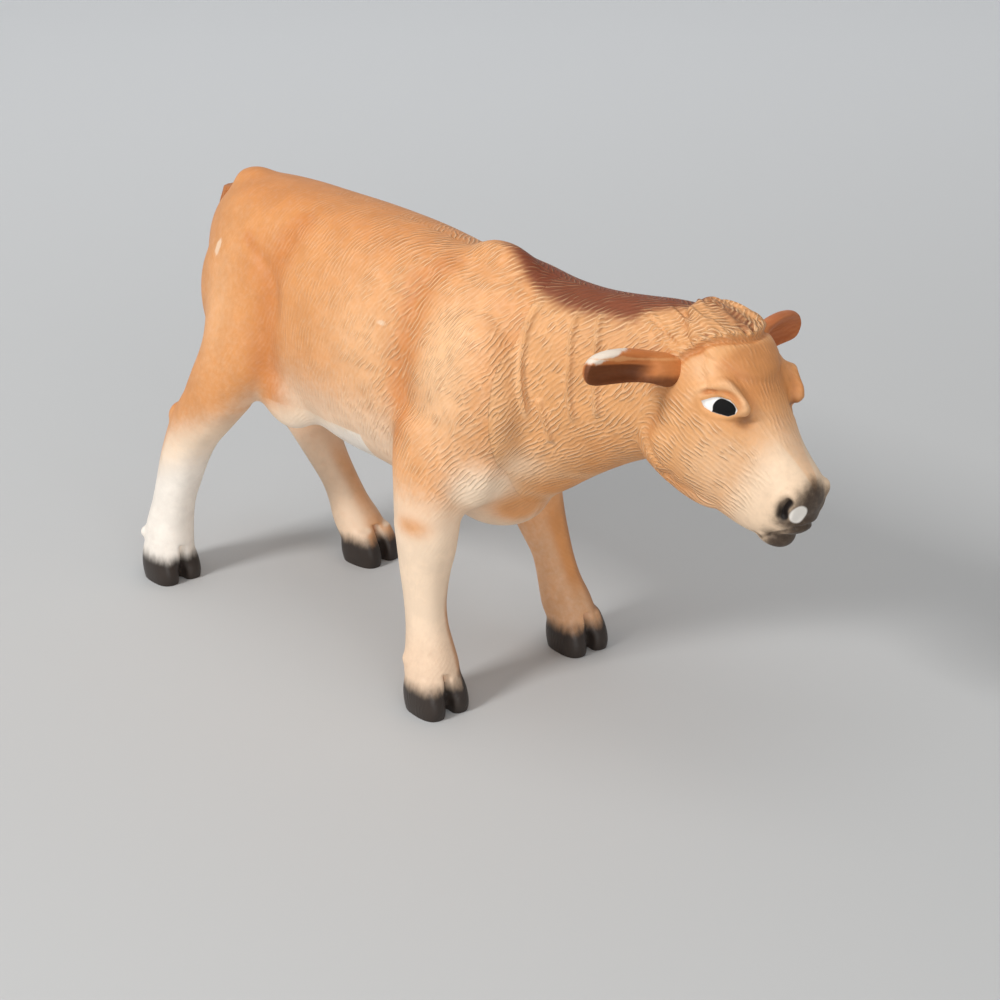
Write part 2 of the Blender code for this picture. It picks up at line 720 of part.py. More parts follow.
def hair_line_tool():
    """A round groove along the front edge of the hair cap."""
    mesh = bmesh.new()
    add_groove(mesh, eased(HAIR_LINE_SHARES), (0, 0, 1), HAIR_GROOVE / 2)
    return as_cutter(finish_mesh(mesh, "hair_line"))


def eye_line_tool():
    """A round groove along the edge of the lids, all the way round each eye."""
    mesh = bmesh.new()
    for sign in (-1, 1):
        loop = [(n, sign * l, t) for n, l, t in EYE_LINE_SHARES]
        path = eased(loop + loop[:1])[:-1][::2]
        add_groove(mesh, path, (0, 1, 0), EYE_GROOVE / 2, True)
    return as_cutter(finish_mesh(mesh, "eye_lines"))


def ear_frame(sign):
    """An ear's own frame: its Y axis runs from the root to the tip."""
    unit = Vector((HEAD_LENGTH, HEAD_WIDTH, HEAD_DEPTH))
    n, l, t = EAR_ROOT_SHARES
    aim = Vector((EAR_AIM_SHARES[0], sign * EAR_AIM_SHARES[1], EAR_AIM_SHARES[2])).normalized()
    facing = Vector((math.cos(math.radians(EAR_TURN_DEGREES)), 0, math.sin(math.radians(EAR_TURN_DEGREES))))
    front = (facing - aim * aim.dot(facing)).normalized()
    up = front.cross(aim) * sign
    axes = Matrix((front, aim, up)).transposed().to_4x4()
    return head_frame() @ Matrix.Translation(Vector((n, sign * l, t)) * unit) @ axes


def ear_rings(sign, growth=0.0, start=0.0):
    """Rings of an ear from its root to its tip, grown by a clearance where asked."""
    frame = ear_frame(sign)
    front = frame.to_3x3() @ Vector((1, 0, 0))
    up = frame.to_3x3() @ Vector((0, 0, 1))
    rings = []
    for along, height, thickness in eased(EAR_SHARES):
        bend = EAR_BEND_SHARE * EAR_LENGTH * math.sin(math.pi * along)
        centre = frame @ Vector((0, along * EAR_LENGTH - start, bend))
        rise = height * EAR_HEIGHT + growth
        depth = thickness * EAR_THICKNESS + growth
        rings.append(oval(centre, front, up, depth, rise, rise, LIMB_FULLNESS))
    return rings


def peg_tool(name, placement, radius, low, high):
    """A round peg or its hole, along the placement's Y axis."""
    mesh = bmesh.new()
    rings = []
    for along in (low, high):
        centre = placement @ Vector((0, along, 0))
        side = placement.to_3x3() @ Vector((1, 0, 0))
        up = placement.to_3x3() @ Vector((0, 0, 1))
        rings.append(oval(centre, side, up, radius, radius, radius, 2.0)[::2])
    add_loft(mesh, rings)
    return as_cutter(finish_mesh(mesh, name))


def build_ear(name, sign):
    """One ear: a curled leaf with a hollow in front and a peg at its root."""
    mesh = bmesh.new()
    add_loft(mesh, [ring[::2] for ring in ear_rings(sign)[::2]])
    ear = finish_mesh(mesh, name)
    frame = ear_frame(sign)
    mesh = bmesh.new()
    along, height, forward = EAR_HOLLOW_SHARES
    length, tall, deep = EAR_HOLLOW_RADIUS_SHARES
    place = (forward * EAR_THICKNESS, along * EAR_LENGTH, height * EAR_HEIGHT)
    radii = (deep * EAR_THICKNESS, length * EAR_LENGTH, tall * EAR_HEIGHT)
    add_ellipsoid(mesh, frame, place, radii, 0.0, 3)
    hollow = as_cutter(finish_mesh(mesh, name + "_hollow"))
    peg = peg_tool(name + "_peg", frame, PEG_WIDTH / 2, -PEG_LENGTH, PEG_LENGTH)
    boolean(ear, hollow, "DIFFERENCE", "hollow")
    boolean(ear, peg, "UNION", "peg")
    return ear


def ear_seats():
    """Seats in the head for the ears: the root and peg, grown by the clearance."""
    tools = []
    for name, sign in (("ear_right", -1), ("ear_left", 1)):
        mesh = bmesh.new()
        rings = ear_rings(sign, FIT_CLEARANCE, FIT_CLEARANCE)[::2]
        add_loft(mesh, [ring[::2] for ring in rings])
        tools.append(as_cutter(finish_mesh(mesh, name + "_seat")))
        hole = peg_tool(
            name + "_socket",
            ear_frame(sign),
            PEG_WIDTH / 2 + FIT_CLEARANCE,
            -PEG_LENGTH - FIT_CLEARANCE,
            PEG_LENGTH,
        )
        tools.append(hole)
    return tools


def tail_frame():
    """The tail's own frame: its root at the tail head, its Y axis pointing forward."""
    along, height = TAIL_ROOT_SHARES
    place = Matrix.Translation((along_trunk(along), 0, height * WITHERS_HEIGHT))
    return place @ Matrix.Rotation(math.radians(-90), 4, "Z")


def tail_rings(growth=0.0):
    """Rings of the tail from its root down to the end of its tuft."""
    frame = tail_frame()
    side = frame.to_3x3() @ Vector((1, 0, 0))
    back = frame.to_3x3() @ Vector((0, -1, 0))
    rings = []
    for down, behind, width, depth in eased(TAIL_SHARES):
        centre = frame @ Vector((0, -behind * TAIL_LENGTH, -down * TAIL_LENGTH))
        half = width * TAIL_WIDTH + growth
        thick = depth * TAIL_WIDTH + growth
        rings.append(oval(centre, side, back, half, thick, thick, LIMB_FULLNESS))
    return rings


def build_tail():
    """The tail: a rope with a tuft that hangs between the buttocks, with a peg."""
    mesh = bmesh.new()
    add_loft(mesh, [ring[::2] for ring in tail_rings()[::2]])
    tail = finish_mesh(mesh, "tail")
    frame = tail_frame() @ Matrix.Translation((0, 0, -TAIL_WIDTH / 2))
    peg = peg_tool("tail_peg", frame, PEG_WIDTH / 2, 0, PEG_LENGTH + TAIL_WIDTH)
    boolean(tail, peg, "UNION", "peg")
    return tail


def tail_seat():
    """The groove between the buttocks that the tail lies in, and its socket."""
    mesh = bmesh.new()
    add_loft(mesh, [ring[::2] for ring in tail_rings(FIT_CLEARANCE)[::2]])
    groove = as_cutter(finish_mesh(mesh, "tail_groove"))
    frame = tail_frame() @ Matrix.Translation((0, 0, -TAIL_WIDTH / 2))
    depth = PEG_LENGTH + TAIL_WIDTH + FIT_CLEARANCE
    hole = peg_tool("tail_socket", frame, PEG_WIDTH / 2 + FIT_CLEARANCE, 0, depth)
    return groove, hole


def build_flesh():
    """The whole animal in soft masses, before hooves and face: both big pieces start from it."""
    mesh = bmesh.new()
    add_trunk(mesh)
    add_muscles(mesh)
    add_neck(mesh)
    add_skull(mesh)
    for leg in LEG_SHARES:
        add_leg(mesh, leg)
    flesh = finish_mesh(mesh, "flesh")
    fuse(flesh, BODY_GRAIN, FLESH_PASSES)
    return as_cutter(flesh)


def copy_flesh(flesh):
    """A work mesh that holds the softened masses."""
    mesh = bmesh.new()
    mesh.from_object(flesh, bpy.context.evaluated_depsgraph_get())
    return mesh


def build_body(flesh, front, socket):
    """The trunk and the four legs, parted from the head at the neck."""
    mesh = copy_flesh(flesh)
    for leg in LEG_SHARES:
        add_leg(mesh, leg, LIMB_START)
        add_hoof(mesh, leg)
    add_hocks(mesh)
    body = finish_mesh(mesh, "body")
    skin(body, BODY_GRAIN, BODY_PASSES, BODY_FACETS)
    floor = box_tool("floor", (-3 * OVERRUN, -OVERRUN, -OVERRUN), (2 * OVERRUN, OVERRUN, 0))
    boolean(body, floor, "DIFFERENCE", "flat_soles")
    boolean(body, hoof_cleft_tool(), "DIFFERENCE", "clefts")
    boolean(body, front, "DIFFERENCE", "neck_face")
    boolean(body, socket, "DIFFERENCE", "neck_socket")
    groove, hole = tail_seat()
    boolean(body, groove, "DIFFERENCE", "tail_groove")
    boolean(body, hole, "DIFFERENCE", "tail_socket")
    return body


def build_head(flesh, back, tenon):
    """The head with the front of the neck and its tenon."""
    mesh = copy_flesh(flesh)
    behind_seam = seam_frame() @ Matrix.Translation((-TENON_LENGTH, 0, 0))
    trim_behind(mesh, behind_seam.translation, behind_seam.to_3x3() @ Vector((1, 0, 0)))
    trim_behind(mesh, Vector((0, 0, THROAT_SHARE * WITHERS_HEIGHT)), Vector((0, 0, 1)))
    add_face(mesh)
    head = finish_mesh(mesh, "head")
    skin(head, HEAD_GRAIN, HEAD_PASSES, HEAD_FACETS)
    boolean(head, back, "DIFFERENCE", "neck_face")
    boolean(head, tenon, "UNION", "tenon")
    boolean(head, nostril_tool(), "DIFFERENCE", "nostrils")
    boolean(head, mouth_tool(), "DIFFERENCE", "mouth")
    boolean(head, hair_line_tool(), "DIFFERENCE", "hair_line")
    boolean(head, eye_line_tool(), "DIFFERENCE", "eye_lines")
    for tool in ear_seats():
        boolean(head, tool, "DIFFERENCE", tool.name)
    return head


def paint(item):
    """Gives a piece its plastic."""
    colour, roughness = COLOURS[item.name]
    material = bpy.data.materials.new(item.name + "_plastic")
    material.use_nodes = True
    shader = material.node_tree.nodes["Principled BSDF"]
    shader.inputs["Base Color"].default_value = colour
    shader.inputs["Roughness"].default_value = roughness
    shader.inputs["Metallic"].default_value = 0.0
    item.data.materials.append(material)


def stand_on_origin(pieces):
    """Moves everything so that the origin is under the middle of the figure, on the floor."""
    bpy.context.view_layer.update()
    graph = bpy.context.evaluated_depsgraph_get()
    corners = []
    for piece in pieces:
        shown = piece.evaluated_get(graph)
        places = np.empty(len(shown.data.vertices) * 3)
        shown.data.vertices.foreach_get("co", places)
        corners.append(places.reshape(-1, 3))
    points = np.vstack(corners)
    low = points.min(axis=0)
    high = points.max(axis=0)
    root = bpy.data.objects.new("figure", None)
    bpy.context.collection.objects.link(root)
    for item in list(bpy.data.objects):
        if item is not root:
            item.parent = root
    root.location = (-(low[0] + high[0]) / 2, -(low[1] + high[1]) / 2, -low[2])
    bpy.context.view_layer.update()
    print("figure spans", np.round((high - low) * 1000, 2), "mm, moved by", np.round(root.location, 5))


def main():
    clear_scene()
    front, back, tenon, socket = seam_tools()
    flesh = build_flesh()
    body = build_body(flesh, front, socket)
    head = build_head(flesh, back, tenon)
    pieces = [body, head, build_ear("ear_right", -1), build_ear("ear_left", 1), build_tail()]
    for piece in pieces:
        paint(piece)
    stand_on_origin(pieces)


main()
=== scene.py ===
# %% [markdown]
# # A moulded toy calf
# The real figure is soft plastic, cast in a steel mould and painted by hand and by airbrush.
# Its hair is engraved in the mould, so the coat is relief, and the colour is sprayed over it.
# The plan: soft masses worked out as surfaces, fused into one skin, carved by formulas, and
# painted with masks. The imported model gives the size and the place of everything.

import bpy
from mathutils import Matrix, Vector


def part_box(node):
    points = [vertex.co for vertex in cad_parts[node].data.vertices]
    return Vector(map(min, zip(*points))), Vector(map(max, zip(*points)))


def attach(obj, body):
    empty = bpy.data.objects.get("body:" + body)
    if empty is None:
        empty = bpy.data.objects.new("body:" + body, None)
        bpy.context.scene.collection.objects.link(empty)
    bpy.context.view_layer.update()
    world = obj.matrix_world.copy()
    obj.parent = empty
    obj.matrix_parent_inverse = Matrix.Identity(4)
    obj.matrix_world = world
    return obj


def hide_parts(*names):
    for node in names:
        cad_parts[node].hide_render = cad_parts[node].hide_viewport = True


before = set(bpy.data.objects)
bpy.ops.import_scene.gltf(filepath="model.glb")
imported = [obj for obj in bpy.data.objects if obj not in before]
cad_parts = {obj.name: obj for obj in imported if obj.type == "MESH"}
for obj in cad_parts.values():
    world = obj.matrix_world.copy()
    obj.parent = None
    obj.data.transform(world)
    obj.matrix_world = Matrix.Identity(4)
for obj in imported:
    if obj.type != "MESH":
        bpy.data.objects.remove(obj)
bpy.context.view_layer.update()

# %% Tools of the lesson
import math

import bmesh
import bpy
import numpy as np
from mathutils import Matrix, Vector

# %% [markdown]
# ## Sizes
# A modeller blocks an animal out from a handful of lengths: how tall, how long, how wide, and
# how big the head is. Everything else is a share of these, so the calf stays in proportion.

# %% Driving sizes in metres
WITHERS_HEIGHT = 0.0478
TRUNK_LENGTH = 0.0535
TRUNK_WIDTH = 0.0196
BUTTOCK_REACH = 0.0300
NECK_START = 0.0130
NECK_LENGTH = 0.0245
NECK_WIDTH = 0.0135
HEAD_SIZE = np.array([0.0200, 0.0134, 0.0170])
HEAD_PLACE = Vector((0.0348, 0.0063, 0.0387))
HEAD_TURNS = (("Z", -4.2), ("Y", 25.6), ("X", -4.4))
STANCE_WIDTH = 0.0200
CANNON_WIDTH = 0.0042
HOOF_SIZE = np.array([0.0058, 0.0060, 0.0042])
DEWCLAW_SIZE = 0.0015
EAR_SIZE = np.array([0.0023, 0.0102, 0.0031])
TAIL_LENGTH = 0.0270
TAIL_WIDTH = 0.0026
PEG_LENGTH = 0.0018
SEAM_FORWARD = 0.0217
SEAM_LEAN_DEGREES = 2.0
MM = 0.001

# %% [markdown]
# ## Where the calf stands
# The lengths above start from the middle of the trunk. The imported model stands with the
# middle of its box on the origin, so the tail's place tells how far everything shifts.

# %% Shift from the modeller's origin to the frame's
TAIL_ROOT_SHARES = (0.054, 0.957)
tail_low, tail_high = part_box("tail")
tail_root = TAIL_ROOT_SHARES[0] * TRUNK_LENGTH - BUTTOCK_REACH
SHIFT = np.array([
    tail_high.x - (tail_root + PEG_LENGTH + TAIL_WIDTH),
    (tail_low.y + tail_high.y) / 2,
    0.0,
])
print("shift", np.round(SHIFT / MM, 2), "mm")

# %% [markdown]
# ## Surfaces on two parameters
# Every mass is a surface with two parameters: how far along it, and how far round it. A limb
# is a row of ovals, and a muscle is a ball. Both come out as one array of points, rows by
# ring, so the same few lines turn any of them into faces.

# %% Smooth rows between the ones that are given
ROW_STEPS = 6
RING_POINTS = 48
AHEAD, SIDE, UP = np.eye(3)
FULLNESS = {"trunk": 2.25, "neck": 2.1, "skull": 2.3, "leg": 2.1, "claw": 2.6}


def eased(rows, steps=ROW_STEPS):
    """Catmull-Rom rows: for t from 0 to 1 between b and c, with a before and d after,
    b + t(c - a)/2 + t^2(a - 5b/2 + 2c - d/2) + t^3(3(b - c)/2 + (d - a)/2)."""
    table = np.array(rows, dtype=float)
    padded = np.vstack([2 * table[0] - table[1], table, 2 * table[-1] - table[-2]])
    a, b, c, d = (padded[first:len(padded) - 3 + first, None] for first in range(4))
    t = np.linspace(0, 1, steps, endpoint=False)[None, :, None]
    curve = b + t * (c - a) / 2 + t**2 * (a - 2.5 * b + 2 * c - 0.5 * d)
    curve = curve + t**3 * (1.5 * (b - c) + 0.5 * (d - a))
    return np.vstack([curve.reshape(-1, table.shape[1]), table[-1:]])


# %% An oval carried along a path
def carried_oval(centres, side, up, half, rise, drop, fullness):
    """Points rows by ring: centre + side * w |cos a|^(2/n) + up * h |sin a|^(2/n), each with
    the sign of its cosine or sine; h is the rise above the centre and the drop below it."""
    turn = np.linspace(0, 2 * np.pi, RING_POINTS, endpoint=False)
    cosine, sine = np.cos(turn), np.sin(turn)
    across = np.sign(cosine) * np.abs(cosine) ** (2 / fullness)
    along = np.sign(sine) * np.abs(sine) ** (2 / fullness)
    height = np.where(sine > 0, np.asarray(rise)[:, None], np.asarray(drop)[:, None])
    width = np.asarray(half)[:, None] * across
    return centres[:, None] + width[..., None] * side + (height * along)[..., None] * up


# %% A ball with three radii
def placed(points, matrix):
    """Points carried through a 4 by 4 matrix."""
    table = np.array(matrix)
    return points @ table[:3, :3].T + table[:3, 3]


def ball(centre, radii, lean_degrees=0.0, placement=Matrix.Identity(4)):
    """Points rows by ring: radii * (cos b, sin b cos a, sin b sin a), leant about Y."""
    down = np.linspace(0.04, np.pi - 0.04, 25)[:, None]
    turn = np.linspace(0, 2 * np.pi, RING_POINTS, endpoint=False)[None]
    unit = np.stack([
        np.cos(down) + 0 * turn,
        np.sin(down) * np.cos(turn),
        np.sin(down) * np.sin(turn),
    ], axis=-1)
    lean = Matrix.Rotation(math.radians(lean_degrees), 4, "Y")
    return placed(unit * np.array(radii), placement @ Matrix.Translation(centre) @ lean)


# %% Faces for any grid of rows by ring
def mesh_from_grids(name, grids, extra=None):
    """One mesh from closed tubes: four-sided faces, and one many-sided face on each end."""
    points = [] if extra is None else [extra[0]]
    faces = [] if extra is None else extra[1].tolist()
    start = 0 if extra is None else len(extra[0])
    for grid in grids:
        rows, ring, _ = grid.shape
        index = np.arange(rows * ring).reshape(rows, ring) + start
        beside = np.roll(index, -1, axis=1)
        quads = np.stack([index[:-1], beside[:-1], beside[1:], index[1:]], axis=-1)
        faces.extend(quads.reshape(-1, 4).tolist())
        faces.extend([index[0, ::-1].tolist(), index[-1].tolist()])
        points.append(grid.reshape(-1, 3))
        start += rows * ring
    mesh = bpy.data.meshes.new(name)
    mesh.from_pydata(np.vstack(points), [], faces)
    mesh.shade_smooth()
    work = bmesh.new()
    work.from_mesh(mesh)
    bmesh.ops.recalc_face_normals(work, faces=work.faces)
    work.to_mesh(mesh)
    work.free()
    return mesh


# %% [markdown]
# ## Flesh
# A sculptor presses soft masses together and smooths the joins with a thumb. Here a voxel
# remesh presses them together, and smoothing passes are the thumb.

# %% Trunk stations: place along, top and bottom over the withers height, half width
TRUNK_SHARES = (
    (0.000, 0.890, 0.740, 0.082),
    (0.024, 0.924, 0.669, 0.173),
    (0.075, 0.974, 0.607, 0.276),
    (0.150, 1.008, 0.556, 0.367),
    (0.243, 1.013, 0.521, 0.439),
    (0.355, 1.012, 0.478, 0.448),
    (0.486, 1.008, 0.444, 0.474),
    (0.617, 0.999, 0.433, 0.472),
    (0.729, 0.985, 0.408, 0.448),
    (0.822, 0.969, 0.385, 0.439),
    (0.897, 0.950, 0.402, 0.388),
    (0.953, 0.921, 0.452, 0.316),
    (1.000, 0.879, 0.533, 0.194),
)
BELLY_SHARE = 0.46


def trunk_grid():
    """The barrel: flat-sided ovals from the buttock to the breast."""
    along, top, bottom, half = eased(TRUNK_SHARES).T
    middle = bottom + BELLY_SHARE * (top - bottom)
    centres = np.stack([
        along * TRUNK_LENGTH - BUTTOCK_REACH,
        0 * along,
        middle * WITHERS_HEIGHT,
    ], axis=-1)
    rise = (top - middle) * WITHERS_HEIGHT
    drop = (middle - bottom) * WITHERS_HEIGHT
    return carried_oval(centres, SIDE, UP, half * TRUNK_WIDTH, rise, drop, FULLNESS["trunk"])


# %% Muscles on each side, and swellings on the middle line
MUSCLE_SHARES = {
    "shoulder": ((0.868, 0.285, 0.690), (0.125, 0.210, 0.205), 9.0),
    "upper_arm": ((0.850, 0.345, 0.575), (0.110, 0.140, 0.130), -8.0),
    "elbow": ((0.770, 0.360, 0.545), (0.060, 0.085, 0.065), 0.0),
    "thigh": ((0.235, 0.235, 0.735), (0.185, 0.230, 0.205), -6.0),
    "buttock": ((0.125, 0.170, 0.780), (0.080, 0.155, 0.150), 10.0),
    "stifle": ((0.335, 0.300, 0.588), (0.100, 0.125, 0.125), -20.0),
}
MIDLINE_SHARES = {
    "withers": ((0.850, 0, 0.932), (0.105, 0.120, 0.082), 0.0),
    "brisket": ((0.835, 0, 0.455), (0.118, 0.255, 0.085), 0.0),
    "tail_head": ((0.125, 0, 0.978), (0.065, 0.120, 0.042), 0.0),
}
TRUNK_SIZE = np.array([TRUNK_LENGTH, TRUNK_WIDTH, WITHERS_HEIGHT])


def muscle_grids():
    """Balls over the shoulder, arm, elbow, thigh, buttock, stifle, withers and brisket."""
    grids = []
    sides = [(muscle, side) for muscle in MUSCLE_SHARES.values() for side in (-1, 1)]
    sides += [(swelling, 1) for swelling in MIDLINE_SHARES.values()]
    for (centre, radii, lean), side in sides:
        place = np.array(centre) * TRUNK_SIZE * (1, side, 1) - (BUTTOCK_REACH, 0, 0)
        grids.append(ball(place, np.array(radii) * TRUNK_SIZE, lean))
    return grids


# %% Neck stations: along, sideways over the head's, top and bottom, half width
NECK_SHARES = (
    (0.00, 0.03, 0.970, 0.420, 0.600),
    (0.20, 0.10, 0.980, 0.425, 0.555),
    (0.37, 0.24, 0.958, 0.470, 0.510),
    (0.53, 0.44, 0.944, 0.528, 0.470),
    (0.69, 0.65, 0.943, 0.577, 0.440),
    (0.86, 0.86, 0.945, 0.615, 0.420),
    (1.00, 1.00, 0.930, 0.648, 0.375),
)


def neck_grid():
    """The neck: ovals that swing to the left as they run forward."""
    along, aside, top, bottom, half = eased(NECK_SHARES).T
    centres = np.stack([
        NECK_START + along * NECK_LENGTH,
        aside * HEAD_PLACE.y,
        (top + bottom) / 2 * WITHERS_HEIGHT,
    ], axis=-1)
    rise = (top - bottom) / 2 * WITHERS_HEIGHT
    return carried_oval(centres, SIDE, UP, half * NECK_WIDTH, rise, rise, FULLNESS["neck"])


# %% The head's own frame, and its stations: along, top, bottom, half width
HEAD_SHARES = (
    (-0.175, 0.294, -0.412, 0.373),
    (0.000, 0.388, -0.482, 0.433),
    (0.175, 0.424, -0.553, 0.455),
    (0.350, 0.365, -0.565, 0.448),
    (0.475, 0.288, -0.529, 0.403),
    (0.600, 0.200, -0.512, 0.313),
    (0.725, 0.135, -0.486, 0.269),
    (0.825, 0.094, -0.435, 0.269),
    (0.900, 0.065, -0.365, 0.246),
    (0.950, 0.012, -0.294, 0.179),
    (0.980, -0.071, -0.200, 0.075),
)
head_frame = Matrix.Translation(HEAD_PLACE)
for axis, degrees in HEAD_TURNS:
    head_frame = head_frame @ Matrix.Rotation(math.radians(degrees), 4, axis)


def skull_grid():
    """The plain mass of the head, in its own frame: turned, lowered and tipped over."""
    along, top, bottom, half = eased(HEAD_SHARES).T
    length, width, depth = HEAD_SIZE
    centres = np.stack([along * length, 0 * along, (top + bottom) / 2 * depth], axis=-1)
    rise = (top - bottom) / 2 * depth
    grid = carried_oval(centres, SIDE, UP, half * width, rise, rise, FULLNESS["skull"])
    return placed(grid, head_frame)


# %% Legs: the sole's place, the hoof's turn, then height, shift, outward, depth and width
LEG_SHARES = {
    "fore_right": (0.335, -1, -6.0, (
        (0.649, -0.054, 0.350, 1.330, 0.760),
        (0.565, -0.048, 0.410, 1.170, 0.810),
        (0.492, -0.046, 0.440, 1.000, 0.790),
        (0.418, -0.050, 0.455, 0.880, 0.730),
        (0.356, -0.048, 0.465, 0.780, 0.650),
        (0.303, -0.049, 0.475, 0.670, 0.560),
        (0.241, -0.043, 0.490, 0.580, 0.480),
        (0.188, -0.036, 0.495, 0.570, 0.490),
        (0.142, -0.026, 0.500, 0.640, 0.560),
        (0.105, -0.017, 0.510, 0.700, 0.650),
        (0.067, -0.008, 0.520, 0.690, 0.670),
        (0.031, -0.002, 0.525, 0.580, 0.580),
    )),
    "fore_left": (0.347, 1, -7.0, (
        (0.649, -0.085, 0.350, 1.290, 0.760),
        (0.544, -0.108, 0.390, 1.140, 0.790),
        (0.439, -0.116, 0.420, 0.950, 0.760),
        (0.370, -0.113, 0.435, 0.830, 0.720),
        (0.318, -0.101, 0.450, 0.750, 0.670),
        (0.268, -0.083, 0.465, 0.660, 0.590),
        (0.215, -0.062, 0.480, 0.580, 0.510),
        (0.167, -0.047, 0.490, 0.610, 0.530),
        (0.126, -0.032, 0.500, 0.680, 0.610),
        (0.088, -0.018, 0.505, 0.700, 0.650),
        (0.042, 0.000, 0.515, 0.600, 0.580),
    )),
    "hind_right": (-0.619, -1, -4.0, (
        (0.753, 0.232, 0.300, 1.380, 0.800),
        (0.649, 0.238, 0.370, 1.300, 0.800),
        (0.565, 0.206, 0.415, 1.260, 0.790),
        (0.496, 0.165, 0.435, 1.160, 0.740),
        (0.429, 0.113, 0.455, 1.020, 0.690),
        (0.374, 0.078, 0.475, 0.830, 0.650),
        (0.318, 0.053, 0.490, 0.730, 0.620),
        (0.257, 0.033, 0.505, 0.670, 0.580),
        (0.201, 0.016, 0.520, 0.640, 0.560),
        (0.130, 0.001, 0.535, 0.720, 0.620),
        (0.067, -0.001, 0.543, 0.720, 0.650),
        (0.031, -0.002, 0.545, 0.640, 0.590),
    )),
    "hind_left": (-0.350, 1, 4.0, (
        (0.753, -0.062, 0.300, 1.380, 0.800),
        (0.649, -0.070, 0.370, 1.300, 0.800),
        (0.544, -0.126, 0.400, 1.170, 0.760),
        (0.460, -0.178, 0.400, 1.000, 0.710),
        (0.387, -0.215, 0.400, 0.930, 0.690),
        (0.335, -0.207, 0.405, 0.830, 0.670),
        (0.291, -0.172, 0.415, 0.760, 0.640),
        (0.236, -0.132, 0.425, 0.640, 0.570),
        (0.186, -0.094, 0.435, 0.600, 0.520),
        (0.146, -0.067, 0.440, 0.620, 0.550),
        (0.100, -0.040, 0.450, 0.730, 0.660),
        (0.063, -0.023, 0.453, 0.710, 0.640),
        (0.031, -0.010, 0.455, 0.600, 0.590),
    )),
}
LIMB_START = 3


def leg_grid(leg, first=0):
    """A leg: ovals from its first station, or a lower one, down to the hoof."""
    forward, side, _, stations = LEG_SHARES[leg]
    height, shift, out, depth, width = eased(stations[first:]).T
    centres = np.stack([
        (forward + shift) * WITHERS_HEIGHT,
        side * out * STANCE_WIDTH,
        height * WITHERS_HEIGHT,
    ], axis=-1)
    reach = depth * CANNON_WIDTH
    return carried_oval(centres, SIDE, AHEAD, width * CANNON_WIDTH, reach, reach, FULLNESS["leg"])


# %% Press the masses together
FLESH_GRAIN = 0.00045
FLESH_PASSES = 26


def fused(mesh, grain, passes):
    """The one skin of overlapping masses, with joins softened by smoothing passes."""
    item = bpy.data.objects.new(mesh.name, mesh)
    bpy.context.collection.objects.link(item)
    join = item.modifiers.new("fuse", "REMESH")
    join.mode = "VOXEL"
    join.voxel_size = grain
    soften = item.modifiers.new("soften", "SMOOTH")
    soften.factor = 0.5
    soften.iterations = passes
    graph = bpy.context.evaluated_depsgraph_get()
    skin = bpy.data.meshes.new_from_object(item.evaluated_get(graph))
    bpy.data.objects.remove(item)
    return skin


def point_rows(mesh, field):
    """Three numbers for each point of a mesh: its place, "co", or its "normal"."""
    rows = np.empty(len(mesh.vertices) * 3)
    mesh.vertices.foreach_get(field, rows)
    return rows.reshape(-1, 3)


def mesh_arrays(mesh, corners):
    """A mesh as points and faces, where every face has the same number of corners."""
    faces = np.empty(len(mesh.polygons) * corners, dtype=int)
    mesh.loops.foreach_get("vertex_index", faces)
    return point_rows(mesh, "co"), faces.reshape(-1, corners)


masses = [trunk_grid(), *muscle_grids(), neck_grid(), skull_grid()]
masses += [leg_grid(leg) for leg in LEG_SHARES]
flesh = fused(mesh_from_grids("flesh", masses), FLESH_GRAIN, FLESH_PASSES)
print("flesh:", len(masses), "masses,", len(flesh.polygons), "faces")

# %% [markdown]
# ## Hooves
# A calf has two claws on each foot, with two small dewclaws behind. They are moulded in one
# with the leg, so they are pressed into the same skin, and only the paint tells them apart.

# %% Claw stations: height, forward shift, half length, half width, over the hoof's sizes
CLAW_SHARES = (
    (-0.30, 0.060, 0.360, 0.200),
    (0.00, 0.055, 0.450, 0.235),
    (0.25, 0.040, 0.490, 0.250),
    (0.60, 0.000, 0.455, 0.240),
    (1.00, -0.060, 0.340, 0.185),
)
CLAW_SPREAD_SHARE = 0.25
DEWCLAW_SHARES = np.array([-0.40, 0.27, 1.25])
HOCK_SHARES = (
    ("hind_right", 0.425, 0.042, 0.455, 0.42),
    ("hind_left", 0.400, -0.285, 0.400, 0.40),
)


def hoof_matrix(leg):
    """The middle of the sole, turned the way that the hoof points."""
    forward, side, turn, stations = LEG_SHARES[leg]
    place = (forward * WITHERS_HEIGHT, side * stations[-1][2] * STANCE_WIDTH, 0)
    return Matrix.Translation(place) @ Matrix.Rotation(math.radians(turn), 4, "Z")


def hoof_grids(leg):
    """Two claws, each a stack of squarish ovals, and two balls for the dewclaws."""
    length, width, height = HOOF_SIZE
    level, shift, reach, half = eased(CLAW_SHARES).T
    grids = []
    for side in (-1, 1):
        spread = np.full_like(level, side * CLAW_SPREAD_SHARE * width)
        centres = np.stack([shift * length, spread, level * height], axis=-1)
        claw = carried_oval(centres, SIDE, AHEAD, half * width, reach * length, reach * length,
                            FULLNESS["claw"])
        grids.append(placed(claw, hoof_matrix(leg)))
        place = DEWCLAW_SHARES * HOOF_SIZE * (1, side, 1)
        grids.append(ball(place, [DEWCLAW_SIZE / 2] * 3, 0.0, hoof_matrix(leg)))
    return grids


def hock_grids():
    """The point of each hock."""
    grids = []
    for leg, height, shift, out, size in HOCK_SHARES:
        forward, side = LEG_SHARES[leg][:2]
        place = ((forward + shift) * WITHERS_HEIGHT, side * out * STANCE_WIDTH,
                 height * WITHERS_HEIGHT)
        grids.append(ball(place, [size * CANNON_WIDTH] * 3))
    return grids


# %% The skin of the body
BODY_GRAIN = 0.00026
BODY_PASSES = 9

